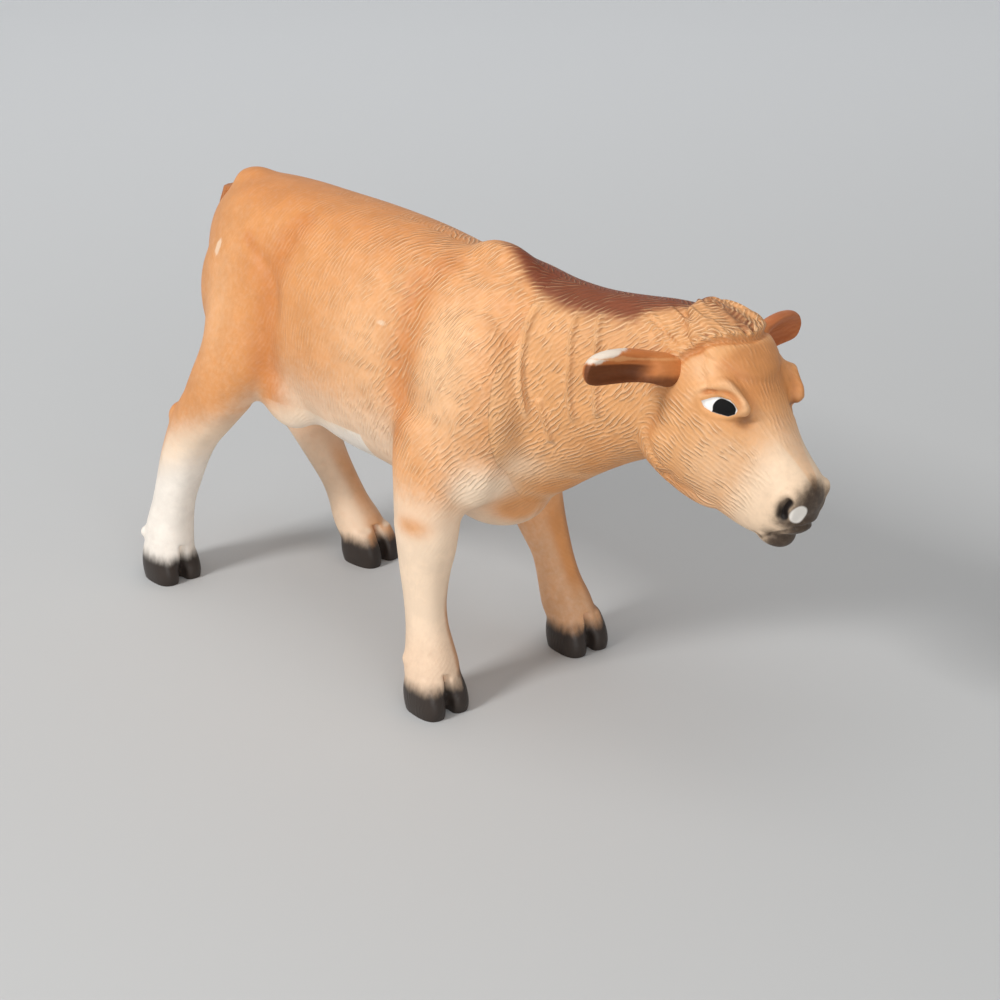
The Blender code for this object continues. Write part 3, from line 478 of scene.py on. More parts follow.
body_masses = hock_grids()
for leg in LEG_SHARES:
    body_masses += [leg_grid(leg, LIMB_START), *hoof_grids(leg)]
body_mesh = fused(mesh_from_grids("body_masses", body_masses, mesh_arrays(flesh, 4)),
                  BODY_GRAIN, BODY_PASSES)
print("body skin:", len(body_mesh.polygons), "faces")

# %% [markdown]
# ## Face
# The face is where the moulding is finest. Cheeks, brows, eyeballs, lips and chin are balls
# pressed into the skull, and the fold over the eye is a cord laid along a path.

# %% Soft forms of the face: centre and radii over the head's sizes, and a nose-down turn
FACE_SHARES = {
    "cheek": ((0.210, 0.276, -0.224), (0.230, 0.180, 0.282), 20.0),
    "brow": ((0.345, 0.288, 0.250), (0.165, 0.098, 0.068), 8.0),
    "eyeball": ((0.418, 0.278, 0.165), (0.105, 0.096, 0.084), -24.0),
    "muzzle_pad": ((0.830, 0.112, -0.141), (0.130, 0.142, 0.170), 15.0),
    "nose_rim": ((0.885, 0.160, -0.040), (0.055, 0.070, 0.065), 0.0),
    "jaw_bone": ((0.300, 0.194, -0.458), (0.310, 0.112, 0.100), -6.0),
}
FACE_MIDLINE_SHARES = {
    "hair_cap": ((0.165, 0, 0.338), (0.275, 0.330, 0.110), 6.0),
    "chin": ((0.835, 0, -0.352), (0.125, 0.180, 0.082), 12.0),
    "upper_lip": ((0.860, 0, -0.200), (0.140, 0.224, 0.125), 0.0),
    "forehead": ((0.360, 0, 0.241), (0.200, 0.269, 0.106), 22.0),
}


def face_grids():
    """Balls for each form of the face, in the head's own frame."""
    forms = [(form, side) for form in FACE_SHARES.values() for side in (-1, 1)]
    forms += [(form, 1) for form in FACE_MIDLINE_SHARES.values()]
    return [
        ball(np.array(centre) * HEAD_SIZE * (1, side, 1), np.array(radii) * HEAD_SIZE,
             turn, head_frame)
        for (centre, radii, turn), side in forms
    ]


# %% Keep one side of a plane, and close the cut
def kept_side(mesh, place, facing):
    """Cuts away what lies behind a plane, and fills the cut with one face."""
    work = bmesh.new()
    work.from_mesh(mesh)
    parts = work.verts[:] + work.edges[:] + work.faces[:]
    bmesh.ops.bisect_plane(work, geom=parts, plane_co=place, plane_no=facing, clear_inner=True)
    bmesh.ops.holes_fill(work, edges=[edge for edge in work.edges if edge.is_boundary])
    bmesh.ops.triangulate(work, faces=[face for face in work.faces if len(face.verts) > 4])
    work.to_mesh(mesh)
    work.free()


# %% The seam where the head moulding meets the body
seam_middle = Vector((
    SEAM_FORWARD,
    NECK_SHARES[2][1] * HEAD_PLACE.y,
    (NECK_SHARES[2][2] + NECK_SHARES[2][3]) / 2 * WITHERS_HEIGHT,
))
seam_facing = Matrix.Rotation(math.radians(SEAM_LEAN_DEGREES), 3, "Y") @ Vector((1, 0, 0))

# %% The skin of the head
HEAD_GRAIN = 0.000135
HEAD_PASSES = 16
THROAT_SHARE = 0.40
TRIM_MARGIN = 0.004

throat_mesh = flesh.copy()
kept_side(throat_mesh, seam_middle - TRIM_MARGIN * seam_facing, seam_facing)
kept_side(throat_mesh, Vector((0, 0, THROAT_SHARE * WITHERS_HEIGHT)), Vector((0, 0, 1)))
throat = bmesh.new()
throat.from_mesh(throat_mesh)
bmesh.ops.triangulate(throat, faces=throat.faces)
throat.to_mesh(throat_mesh)
throat.free()
head_mesh = fused(mesh_from_grids("head_masses", face_grids(), mesh_arrays(throat_mesh, 3)),
                  HEAD_GRAIN, HEAD_PASSES)
print("head skin:", len(head_mesh.polygons), "faces")

# %% [markdown]
# ## Carving
# The mould-maker engraves folds, lids, nostrils and hair with a burr. The same is done here
# by moving each point of the skin along its normal, by an amount that formulas give from the
# point's place. A left side is carved as the mirror of its right side.

# %% Places that carving works from
NECK_PLACES = NECK_START + np.array([row[0] for row in NECK_SHARES]) * NECK_LENGTH
NECK_SWING = np.array([row[1] for row in NECK_SHARES]) * HEAD_PLACE.y


def from_middle(points):
    """Sideways distance from the middle line, which swings aside with the neck."""
    return points[:, 1] - np.interp(points[:, 0], NECK_PLACES, NECK_SWING, left=0.0)


def folded(points):
    """Points in mm with the left side laid on the right: x, |sideways|, z."""
    return np.stack([points[:, 0], np.abs(from_middle(points)), points[:, 2]], axis=-1) / MM


def in_head(points):
    """Points in mm in the head's own frame, left laid on right: forward, |sideways|, up."""
    local = placed(points, head_frame.inverted()) / MM
    return local * (1, 0, 1) + np.abs(local) * (0, 1, 0)


def near_path(points, path):
    """Distance from each point to a path of straight stretches, and how far along it is,
    from 0 at its start to 1 at its end."""
    nearest = np.full(len(points), np.inf)
    along = np.zeros(len(points))
    path = np.array(path, dtype=float)
    for index, (start, end) in enumerate(zip(path, path[1:])):
        stretch = end - start
        t = np.clip((points - start) @ stretch / (stretch @ stretch), 0, 1)
        gap = np.linalg.norm(points - start - t[:, None] * stretch, axis=1)
        closer = gap < nearest
        nearest = np.where(closer, gap, nearest)
        along = np.where(closer, (index + t) / (len(path) - 1), along)
    return nearest, along


def bell(distance, width):
    """exp(-(d / w)^2): 1 on the line, and nearly nothing two widths away."""
    return np.exp(-(distance / width) ** 2)


def ramp(value, low, high):
    """0 below low, 1 above high, and t^2 (3 - 2t) between."""
    t = np.clip((value - low) / (high - low), 0, 1)
    return t * t * (3 - 2 * t)


# %% Smooth noise for tufts
def cell_value(cell):
    """A fixed number from 0 to 1 for each cell of a lattice: the fraction of a large sine."""
    mixed = np.sin(cell @ np.array([127.1, 311.7, 74.7])) * 43758.5453
    return mixed - np.floor(mixed)


def soft_noise(points):
    """Cell values blended between the eight corners round each point by t^2 (3 - 2t)."""
    cell = np.floor(points)
    t = points - cell
    t = t * t * (3 - 2 * t)
    total = np.zeros(len(points))
    for corner in np.ndindex(2, 2, 2):
        weight = np.prod(np.where(corner, t, 1 - t), axis=1)
        total += weight * cell_value(cell + corner)
    return total


# %% Folds of the neck and grooves of the body, as paths in mm
NECK_CORDS = (
    ((22.7, 3.4, 44.3), (22.6, 5.2, 41.8), (22.9, 6.7, 38.3), (23.3, 7.2, 36.0), (23.7, 6.7, 32.5)),
    ((24.6, 6.5, 35.4), (25.3, 6.3, 32.7), (25.5, 5.8, 30.3)),
    ((26.4, 3.2, 43.8), (26.8, 4.8, 41.8), (27.3, 5.7, 39.4), (27.6, 6.1, 35.5), (27.9, 5.8, 32.7)),
    ((28.5, 2.9, 44.0), (29.1, 4.4, 42.4), (29.5, 5.0, 41.2), (30.1, 5.9, 35.9), (30.0, 5.7, 33.7)),
)
SHOULDER_GROOVE = ((10.9, 3.4, 45.9), (10.2, 5.0, 44.7), (9.7, 6.2, 43.3), (9.9, 7.8, 39.5),
                   (9.4, 8.6, 35.4), (9.5, 9.1, 31.2), (10.6, 9.8, 29.0))
THIGH_GROOVE = ((-9.1, 5.3, 46.2), (-10.4, 6.9, 43.8), (-11.6, 8.2, 40.0), (-11.9, 8.7, 35.5),
                (-12.2, 8.4, 29.8), (-10.8, 8.2, 27.1))
THIGH_FOLD = ((-16.5, 7.2, 43.6), (-13.3, 7.9, 41.6), (-11.6, 8.2, 40.0), (-10.6, 8.6, 37.6),
              (-11.2, 8.7, 34.5))
CORD_WIDTH = 0.30
CORD_HEIGHT = 0.46
GROOVES = ((SHOULDER_GROOVE, 0.40, 1.7), (THIGH_GROOVE, 0.34, 2.0), (THIGH_FOLD, 0.30, 0.9))


def smooth_path(path):
    """A path with smooth in-between points."""
    return eased(path, 4)


def cord_share(place):
    """How near a point is to a cord of the neck, fading toward the cord's ends."""
    share = np.zeros(len(place))
    for cord in NECK_CORDS:
        gap, along = near_path(place, smooth_path(cord))
        fade = ramp(along, 0.0, 0.12) * (1 - ramp(along, 0.85, 1.0))
        share = np.maximum(share, fade * bell(gap, CORD_WIDTH))
    return share


def fold_height(place):
    """Thin cords stand up on the neck, and soft grooves part shoulder and thigh."""
    height = CORD_HEIGHT * cord_share(place)
    for groove, depth, width in GROOVES:
        gap, along = near_path(place, smooth_path(groove))
        height -= depth * ramp(along, 0, 0.2) * (1 - ramp(along, 0.8, 1)) * bell(gap, width)
    return height

# %% [markdown]
# ## Hair
# Hair needs a direction at every point of the skin. An angle that changes from place to place
# says how steeply the strands rise toward the head, and the direction across them follows
# from the skin's normal.

# %% How steeply the strands of the body rise, in degrees
FLANK_RISE, SHOULDER_RISE, NECK_RISE, LEG_RISE = 72, 60, 60, 88


def body_rise(place):
    """Steep on the flank, slanting on shoulder and neck, flatter toward the withers, and
    nearly upright on the legs."""
    x, y, z = place.T
    rise = FLANK_RISE + (SHOULDER_RISE - FLANK_RISE) * ramp(x, -4, 6)
    rise = rise + (NECK_RISE - SHOULDER_RISE) * ramp(x, 12, 20)
    rise = rise - 16 * ramp(z - y, 34, 46) * ramp(x, 0, 10)
    rise = rise + 30 * (soft_noise(place * 0.4 + 3.1) - 0.5)
    return rise + (LEG_RISE - rise) * (1 - ramp(z, 16, 31))


def across_strands(rise, sideways, normals):
    """Unit vectors across the strands: the normal crossed with the strand, which runs
    cos(rise) ahead and sin(rise) up the side of the skin."""
    climb = np.stack([0 * sideways, -np.sign(sideways), np.ones(len(sideways))], axis=-1)
    climb = climb - normals * np.sum(climb * normals, axis=1, keepdims=True)
    climb = climb / (np.linalg.norm(climb, axis=1, keepdims=True) + 1e-6)
    angle = np.radians(rise)[:, None]
    across = np.cross(normals, np.cos(angle) * AHEAD + np.sin(angle) * climb)
    return across / (np.linalg.norm(across, axis=1, keepdims=True) + 1e-6)


def body_coat(place):
    """How deep the hair is engraved: most on shoulder and neck, least on the rump."""
    x, y, z = place.T
    coat = 0.08 + 0.30 * ramp(x, -16, -4) + 0.62 * ramp(x, -4, 9)
    coat = coat * (0.08 + 0.92 * ramp(z - 0.3 * y, 17, 28)) * (1 - cord_share(place))
    return coat * (0.35 + 0.85 * ramp(soft_noise(place * (0.9, 0.9, 1.1) + 1.7), 0.25, 0.60))


# %% Strands on the head, and the edges that they end at
HEAD_HAIR_RISE = -4
CAP_RISE = -6
CAP_PITCH = 0.40
CAP_STRAND = 2.2
EDGE_TURNS = (0, 16, 27, 37, 48, 69, 87, 109, 129, 137, 145, 180)
EDGE_PLACES = (4.7, 4.2, 3.5, 2.8, 2.0, 1.8, 2.6, 2.8, 2.9, 4.2, 6.2, 7.5)


def ahead_of_edge(local):
    """Millimetres in front of the edge that runs over the poll and down behind the cheek."""
    n, l, t = local.T
    turn = np.degrees(np.arctan2(l, t))
    return n - np.interp(turn, EDGE_TURNS, EDGE_PLACES), turn


def cap_share(local):
    """1 on the hair cap, 0 in front of it, behind it and below it."""
    ahead, turn = ahead_of_edge(local)
    return (1 - ramp(ahead, -0.1, 0.1)) * ramp(ahead, -7.5, -5.0) * (1 - ramp(turn, 50, 66))


def strand_height(local):
    """Coarse ridges of the cap, from noise stretched along them and swayed by broader noise."""
    n, l, t = local.T
    sway = soft_noise(local * (0.15, 0.15, 0.3) + 7.3) - 0.5
    across = (t - l) * 0.75 / CAP_PITCH + 1.6 * sway
    return soft_noise(np.stack([n / CAP_STRAND, across, 0.35 * l], axis=-1)) - 0.5


# %% [markdown]
# ## Lines of sight
# The outlines round the eye were picked on the photograph. A camera fitted to it turns
# a picked pixel into a line of sight, and a chosen distance from the middle of the head says
# where along that line the point of the outline lies.

# %% From a picked pixel to a place in the head's frame
CAMERA_PLACE = np.array([160.00, -142.66, 108.67]) * MM
CAMERA_TURN_DEGREES = 45.45
CAMERA_DOWN_DEGREES = 23.53
SENSOR_MM = 36
LENS_MM = 76.176
PHOTO_PIXELS = 1000


def on_head(picks):
    """Places in mm for rows of pixel u, pixel v and sideways distance l: with the camera at c
    and the pixel's direction d in the head's frame, c + d (-l - c_y) / d_y, laid on the left."""
    u, v, sideways = np.array(picks, dtype=float).T
    focal = LENS_MM / SENSOR_MM * PHOTO_PIXELS
    middle = PHOTO_PIXELS / 2
    line = np.stack([(u - middle) / focal, (middle - v) / focal, 0 * u - 1], axis=-1)
    pan = Matrix.Rotation(math.radians(CAMERA_TURN_DEGREES), 3, "Z")
    tilt = Matrix.Rotation(math.radians(90 - CAMERA_DOWN_DEGREES), 3, "X")
    line = line @ np.array(head_frame.inverted().to_3x3() @ pan @ tilt).T
    start = placed(CAMERA_PLACE, head_frame.inverted()) / MM
    share = (-sideways - start[1]) / line[:, 1]
    return (start + share[:, None] * line) * (1, -1, 1)


# %% Eye, lids and brow: pixel across, pixel down, and mm from the middle of the head
EYE_MIDDLE = np.array([8.48, 4.90, 2.88])
EYE_AHEAD = np.array([0.912, -0.181, 0.368])
EYE_UP = np.array([-0.374, 0.0, 0.928])
EYE_OPENING = on_head((
    (703.8, 399.5, 5.05), (712.0, 397.6, 5.05), (721.6, 397.6, 5.00), (729.3, 400.0, 4.85),
    (734.4, 405.0, 4.65), (737.6, 410.4, 4.50), (734.4, 414.8, 4.60), (728.0, 416.7, 4.80),
    (719.0, 414.2, 5.00), (712.7, 411.0, 5.05), (706.3, 405.3, 5.05),
))
IRIS_HALF = (1.20, 1.00)
IRIS_SHIFT = (0.18, -0.12)
LID_CREASE = on_head((
    (700, 395.0, 5.10), (707, 391.5, 5.10), (719, 391.0, 4.95),
    (731, 395.0, 4.75), (738, 402.0, 4.45), (741, 407.0, 4.20),
))
BROW_FOLD = on_head((
    (692, 400, 5.20), (700, 390, 5.20), (714, 386, 5.00), (727, 385, 4.75),
    (737, 392, 4.50), (743, 402, 4.20), (746, 414, 3.60),
))
BROW_DIMPLE = (10.35, 3.30, 2.75)
NOSTRIL = ((18.35, 3.00, -0.80), (18.20, 2.90, -1.60), (18.45, 2.70, -2.45))
FLATTEN = (1, 0.3, 1)
MOUTH = ((19.9, 0.0, -3.2), (19.7, 1.2, -3.4), (19.4, 1.7, -3.8), (18.6, 1.8, -4.8),
         (17.4, 1.9, -6.2), (16.7, 2.2, -6.8))


print("eye opening spans", np.round(np.ptp(EYE_OPENING, axis=0), 2), "mm")


def on_eye(local):
    """Places on the plane of the eye in mm: toward the nose, and up."""
    return np.stack([(local - EYE_MIDDLE) @ EYE_AHEAD, (local - EYE_MIDDLE) @ EYE_UP], axis=-1)


def outline_distance(places, outline):
    """Distance to a closed outline, negative inside: a point is inside when a line from it
    crosses the outline an odd number of times."""
    outline = np.array(outline)
    closed = np.vstack([outline, outline[:1]])
    gap, _ = near_path(places, closed)
    inside = np.zeros(len(places), dtype=bool)
    x, y = places.T
    for (x0, y0), (x1, y1) in zip(closed, closed[1:]):
        crossing = x0 + (y - y0) / (y1 - y0 + 1e-9) * (x1 - x0)
        inside ^= ((y0 > y) != (y1 > y)) & (x < crossing)
    return np.where(inside, -gap, gap)


def eye_distance(local):
    """Millimetres outside the eye's opening, negative inside it; large away from the eyes."""
    place = on_eye(local)
    near = np.linalg.norm(local - EYE_MIDDLE, axis=1) < 5
    distance = np.full(len(local), 5.0)
    distance[near] = outline_distance(place[near], on_eye(EYE_OPENING))
    return distance


def face_height(local):
    """Lids, eye, brow fold and its dimple, nostrils and mouth, in mm."""
    height = np.zeros(len(local))
    eye = eye_distance(local)
    near = np.linalg.norm(local - EYE_MIDDLE, axis=1) < 7
    crease, _ = near_path(local, smooth_path(LID_CREASE))
    fold, along = near_path(local, smooth_path(BROW_FOLD))
    dimple = np.linalg.norm(local - BROW_DIMPLE, axis=1)
    bulge = 1 - np.linalg.norm(on_eye(local) / (1.9, 1.25), axis=1) ** 2
    height += ramp(-eye, -0.02, 0.14) * (0.16 * np.maximum(bulge, 0) - 0.26)
    height += near * 0.16 * bell(eye - 0.28, 0.30)
    height -= 0.36 * bell(crease, 0.22)
    height += 0.42 * ramp(along, 0, 0.25) * bell(fold, 0.48)
    height -= 0.16 * bell(fold - 1.05, 0.40) * (local[:, 2] > 2) * ramp(along, 0.2, 0.5)
    height -= 0.50 * bell(dimple, 0.75)
    nostril, _ = near_path(local, smooth_path(NOSTRIL))
    height += 0.10 * bell(nostril - 0.95, 0.40) - 0.60 * bell(nostril, 0.42)
    mouth, _ = near_path(local, smooth_path(MOUTH))
    height -= 0.34 * bell(mouth, 0.26)
    return height


def cap_height(local):
    """The hair cap's front lip stands over a groove, and its strands are coarse."""
    ahead, turn = ahead_of_edge(local)
    crown = 1 - ramp(turn, 48, 66)
    jowl = ramp(turn, 78, 95) * (1 - ramp(turn, 138, 165))
    lip = (1 - ramp(ahead, -0.12, 0.22)) * ramp(ahead, -4.5, -0.3)
    height = crown * (0.34 * lip - 0.30 * bell(ahead - 0.38, 0.36))
    height = height - 0.22 * jowl * bell(ahead, 0.75)
    cap = crown * (1 - ramp(ahead, -0.3, 0.1)) * ramp(ahead, -8.0, -5.0)
    return height + 0.60 * cap * strand_height(local)


# %% Move every point along its normal
def carved(mesh, heights):
    """Moves points along their normals by heights in mm that a function of place gives."""
    points = point_rows(mesh, "co")
    moved = points + heights(points)[:, None] * MM * point_rows(mesh, "normal")
    mesh.vertices.foreach_set("co", moved.ravel())
    mesh.update()


def cleft_height(points):
    """A wedge between the claws at the front of each hoof, in mm."""
    height = np.zeros(len(points))
    for leg in LEG_SHARES:
        local = placed(points, hoof_matrix(leg).inverted()) / MM
        front = ramp(local[:, 0], -1.2, 0.8) * (local[:, 0] < 4) * (local[:, 2] < 4.6)
        height -= 0.75 * front * bell(local[:, 1], 0.34) * (np.abs(local[:, 1]) < 3)
    return height


def body_height(points):
    """Everything engraved in the body, in mm."""
    return fold_height(folded(points)) + cleft_height(points)


def head_height(points):
    """Everything engraved in the head, in mm; the folds of the neck end at its cheek."""
    local = in_head(points)
    ahead, turn = ahead_of_edge(local)
    neck = (1 - ramp(ahead, -3.0, 0.5)) * ramp(turn, 40, 70)
    return neck * fold_height(folded(points)) + face_height(local) + cap_height(local)


carved(body_mesh, body_height)
carved(head_mesh, head_height)
print("carved", len(body_mesh.vertices), "and", len(head_mesh.vertices), "points")

# %% Part the head from the body at the seam, and level the soles
CREASE_DEGREES = 60

kept_side(body_mesh, seam_middle, -seam_facing)
kept_side(body_mesh, Vector((0, 0, 0)), Vector((0, 0, 1)))
kept_side(head_mesh, seam_middle, seam_facing)
for mesh in (body_mesh, head_mesh):
    mesh.shade_smooth()
    mesh.set_sharp_from_angle(angle=math.radians(CREASE_DEGREES))

# %% Put a mesh into the scene as a piece
def piece(name, mesh, node):
    """An object at the origin with its place in its mesh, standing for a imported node."""
    mesh.transform(Matrix.Translation(SHIFT))
    mesh.name = name
    item = bpy.data.objects.new(name, mesh)
    bpy.context.collection.objects.link(item)
    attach(item, "root")
    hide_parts(node)
    return item


body = piece("painted_body", body_mesh, "body")
head = piece("painted_head", head_mesh, "head")
for item in (body, head):
    item.data.calc_loop_triangles()
    print(item.name, len(item.data.loop_triangles), "triangles")

# %% [markdown]
# ## Ears
# An ear is a leaf folded into a cup. One parameter runs from root to tip, the other round
# the leaf, and the front half of the ring is pressed in so that it turns into a hollow.

# %% Ear stations: along the ear, half height and half thickness, and how deep the cup is
EAR_STATIONS = (
    (0.00, 0.500, 0.600, 0.00),
    (0.10, 0.520, 0.600, 0.00),
    (0.22, 0.500, 0.560, 0.10),
    (0.34, 0.500, 0.540, 0.80),
    (0.50, 0.520, 0.530, 1.30),
    (0.68, 0.530, 0.510, 1.35),
    (0.84, 0.500, 0.460, 1.20),
    (0.94, 0.400, 0.350, 0.80),
    (0.985, 0.220, 0.220, 0.20),
    (1.00, 0.060, 0.060, 0.00),
)
EAR_ROOT = (0.100, 0.390, 0.115)
EAR_AIM = (-0.210, 0.975, 0.020)
EAR_TURN_DEGREES = 32.0
EAR_BEND_SHARE = 0.06
EAR_SINK = 0.0010
CUP_TURN_DEGREES = -18


def ear_matrix(side):
    """The ear's own frame: X faces its hollow, Y runs to the tip."""
    aim = Vector((EAR_AIM[0], side * EAR_AIM[1], EAR_AIM[2])).normalized()
    turn = math.radians(EAR_TURN_DEGREES)
    facing = Vector((math.cos(turn), 0, math.sin(turn)))
    front = (facing - aim * aim.dot(facing)).normalized()
    axes = Matrix((front, aim, front.cross(aim) * side)).transposed().to_4x4()
    n, l, t = np.array(EAR_ROOT) * HEAD_SIZE
    return head_frame @ Matrix.Translation((n, side * l, t)) @ axes


def ear_mesh(side):
    """For a ring angle a: up = h sin a, front = d (cos a - c k^2), where k is the cosine of
    1.25 times the angle from the cup's middle, which lies below the upper rim."""
    thickness, length, tall = EAR_SIZE
    along, rise, depth, cup = eased(EAR_STATIONS, 8).T
    turn = np.linspace(0, 2 * np.pi, 96, endpoint=False)[None]
    cosine, sine = np.cos(turn), np.sin(turn)
    from_cup = np.angle(np.exp(1j * (turn - math.radians(CUP_TURN_DEGREES))))
    pressed = np.cos(np.clip(1.25 * from_cup, -np.pi / 2, np.pi / 2)) ** 2
    front = cosine - cup[:, None] * pressed
    bend = EAR_BEND_SHARE * length * np.sin(np.pi * np.clip(along, 0, 1))
    grid = np.stack([
        (depth * thickness)[:, None] * front,
        (along * length - EAR_SINK * (along < 0.02))[:, None] + 0 * turn,
        (rise * tall)[:, None] * sine + bend[:, None],
    ], axis=-1)
    return mesh_from_grids("ear", [placed(grid, ear_matrix(side))])


ear_right = piece("painted_ear_right", ear_mesh(-1), "ear_right")
ear_left = piece("painted_ear_left", ear_mesh(1), "ear_left")

# %% [markdown]
# ## Tail
# The tail is a rope that hangs in a groove between the buttocks and ends in a tuft.

# %% Tail stations: down the tail, backward, half width and half depth
TAIL_SHARES = (
    (0.00, 0.000, 0.620, 0.620),
    (0.10, 0.046, 0.600, 0.560),
    (0.25, 0.066, 0.500, 0.460),
    (0.45, 0.058, 0.420, 0.400),
    (0.62, 0.044, 0.440, 0.420),
    (0.80, 0.036, 0.620, 0.560),
    (0.93, 0.034, 0.480, 0.420),
    (1.00, 0.034, 0.160, 0.140),
)
TAIL_STRANDS = 14
TAIL_TWIST = 2.2


def tail_mesh():
    """Ovals down a line, with a ring radius that waves with the angle like twisted hair."""
    down, behind, width, depth = eased(TAIL_SHARES, 14).T
    turn = np.linspace(0, 2 * np.pi, 120, endpoint=False)[None]
    twist = turn + TAIL_TWIST * down[:, None]
    tuft = ramp(down, 0.45, 0.75)[:, None]
    waves = np.sin(TAIL_STRANDS * twist) * (1 - ramp(down, 0.97, 1.0))[:, None]
    hair = 1 + (0.018 + 0.045 * tuft) * waves
    back = tail_root - (behind * TAIL_LENGTH)[:, None]
    grid = np.stack([
        back + hair * (depth * TAIL_WIDTH)[:, None] * np.sin(turn),
        hair * (width * TAIL_WIDTH)[:, None] * np.cos(turn),
        TAIL_ROOT_SHARES[1] * WITHERS_HEIGHT - (down * TAIL_LENGTH)[:, None] + 0 * turn,
    ], axis=-1)
    return mesh_from_grids("tail", [grid])


tail = piece("painted_tail", tail_mesh(), "tail")

# %% [markdown]
# ## Masks for the paint
# The real calf is sprayed with soft-edged colours: brown along the crest, deeper tan in the
# hollows, cream on belly and legs. The deeper tan here is also painted shade in the grooves and
# creases, and a peach on the swellings is painted highlight. Each colour gets a mask that says
# where it lies, worked out from a point's place and the way it faces. Edges that are crisp,
# such as the eye's, are kept as distances, because a distance stays sharp between two points
# of the mesh.

# %% Tools for masks
def surface(item):
    """Places in mm before the shift, and normals, of a piece's points."""
    return point_rows(item.data, "co") - SHIFT, point_rows(item.data, "normal")


def keep(item, name, values):
    """Stores one number, or three, for each point."""
    values = np.ascontiguousarray(values, dtype=np.float32)
    kind, field = ("FLOAT", "value") if values.ndim == 1 else ("FLOAT_VECTOR", "vector")
    layer = item.data.attributes.new(name, kind, "POINT")
    layer.data.foreach_set(field, values.ravel())


def spot(place, middle, radii):
    """exp(-r^2) for a place's distance r from a middle, counted in the spot's radii."""
    return np.exp(-(((place - np.array(middle)) / radii) ** 2).sum(axis=1))


def highest(*masks):
    """The largest of several masks at each point."""
    return np.max(masks, axis=0)


# %% Colours, painted shade and painted highlight that both mouldings carry
def shared_masks(points, normals):
    """Deeper tan in hollows, partly painted shade; painted highlight on swellings; brown on the
    crest, cream below.
    """
    place = folded(points)
    x, y, z = place.T
    shoulder, _ = near_path(place, smooth_path(SHOULDER_GROOVE))
    thigh, _ = near_path(place, smooth_path(THIGH_GROOVE))
    fold, _ = near_path(place, smooth_path(THIGH_FOLD))
    # The deep mask: painted shade along the shoulder and thigh grooves, the thigh fold and the
    # hollow ahead of the hip, over the toy's own deeper tan, which also lies on the tail head and
    # the upper faces of the back.
    deep = highest(
        0.90 * bell(shoulder, 2.1),
        0.90 * bell(thigh, 2.4),
        0.75 * bell(fold, 0.9),
        0.65 * spot(place, (-13, 7, 41), (3.5, 4, 4)),
        0.80 * spot(place, (-29, 0, 43), (2.5, 6, 5)),
        0.55 * ramp(normals[:, 2], 0.45, 0.95) * (1 - ramp(x, 8, 14)),
        0.50 * spot(place, (30, 4, 30), (5, 5, 4)),
    )
    # Painted highlight: a paler peach on the shoulder, the flank, the thigh and the elbow, where
    # the light falls most.
    painted_highlight = highest(
        0.95 * spot(place, (16, 8, 36), (5, 6, 9)),
        0.55 * spot(place, (4, 9, 36), (7, 6, 9)),
        0.45 * spot(place, (-20, 9, 35), (3.5, 6, 8)),
        0.50 * spot(place, (13, 8, 24), (4, 6, 8)),
    )
    crest_width = 3.7 * ramp(x, 10, 26)
    crest = ramp(x, 11, 20) * ramp(crest_width - y, -1.0, 1.3) * (z > 38)
    belly = highest(
        0.85 * ramp(-normals[:, 2], 0.05, 0.85),
        0.9 * (1 - ramp(z, 25.0, 35.5)) * ramp(x, -14, -8) * (1 - ramp(x, 7, 10)),
    ) * (z > 16) * (1 - ramp(x, 22, 30))
    armpit = highest(spot(place, (19.7, 8.2, 24.6), (3.2, 3.6, 3.6)),
                     0.55 * spot(place, (22.2, 6.2, 27.2), (3.0, 3.0, 2.4)))
    brisket = highest(
        spot(place, (20.8, 3.6, 21.6), (3.0, 3.0, 2.4)),
        spot(place, (24.0, 2.0, 24.3), (3.0, 3.2, 2.0)),
        0.8 * spot(place, (28.0, 1.5, 27.6), (3.0, 3.0, 1.8)),
    )
    return {"deep": deep, "painted_highlight": painted_highlight, "crest": crest,
            "cream": highest(belly * 0.80, 1.2 * armpit), "orange": 1.3 * brisket}


# %% Legs: paler downward, with orange and brown on their fronts
def leg_masks(points, normals):
    """Cream, orange and brown on the four legs, from the height and the way a point faces."""
    x, y, z = (points / MM).T
    fore = x > 2
    right = y < 0
    facing_front = ramp(normals[:, 0] + 0.35 * normals[:, 1], 0.45, 0.95)
    facing_back = ramp(-normals[:, 0], 0.2, 0.8)
    below = z < 26
    slant = z - 0.42 * (x + 26)
    cream = below * np.select(
        [fore & right, fore, right],
        [0.97 * (1 - ramp(z, 19.0, 28.0)), 0.35 * (1 - ramp(z, 12, 22)),
         1 - ramp(slant, 16.5, 23.0)],
        0.80 * (1 - ramp(z, 12, 24)),
    )
    orange = below * highest(
        0.80 * (fore & right) * spot(points / MM, (14.5, -12.2, 20.6), (2.6, 2.0, 1.3)),
        1.0 * (~fore) * facing_back * ramp(z, 14.0, 17),
        0.85 * fore * (~right) * facing_front * (1 - ramp(z, 14, 20)) * ramp(z, 5, 9),
        0.80 * (~fore) * (~right) * facing_front * (1 - ramp(z, 10, 18)),
    )
    # The streak mask: a brown streak on the fore pasterns, and with it painted shade on the sides
    # of the fore legs that face the calf's left; below 12 mm the fore right leg is darkened a
    # little more.
    streak = below * ramp(normals[:, 1], 0.05, 0.55) * ramp(normals[:, 0], -0.3, 0.4) * highest(
        (fore & right) * (1 - ramp(z, 10, 16)), (fore & ~right) * (1 - ramp(z, 14, 20)))
    streak = highest(streak, 0.33 * fore * right * (1 - ramp(z, 6, 12)))
    white = 0.95 * (1 - ramp(slant, 12.5, 19.0)) * (~fore) * right
    return {"cream": cream, "orange": orange, "streak": 0.85 * streak,
            "white": below * white}


# %% Masks of the body
CHIPS = (
    ((-21.5, -7.5, 41.4), (0.55, 0.9, 0.95), 0.5),
    ((6.2, -8.2, 39.5), (0.55, 0.5, 0.22), 0.2),
)

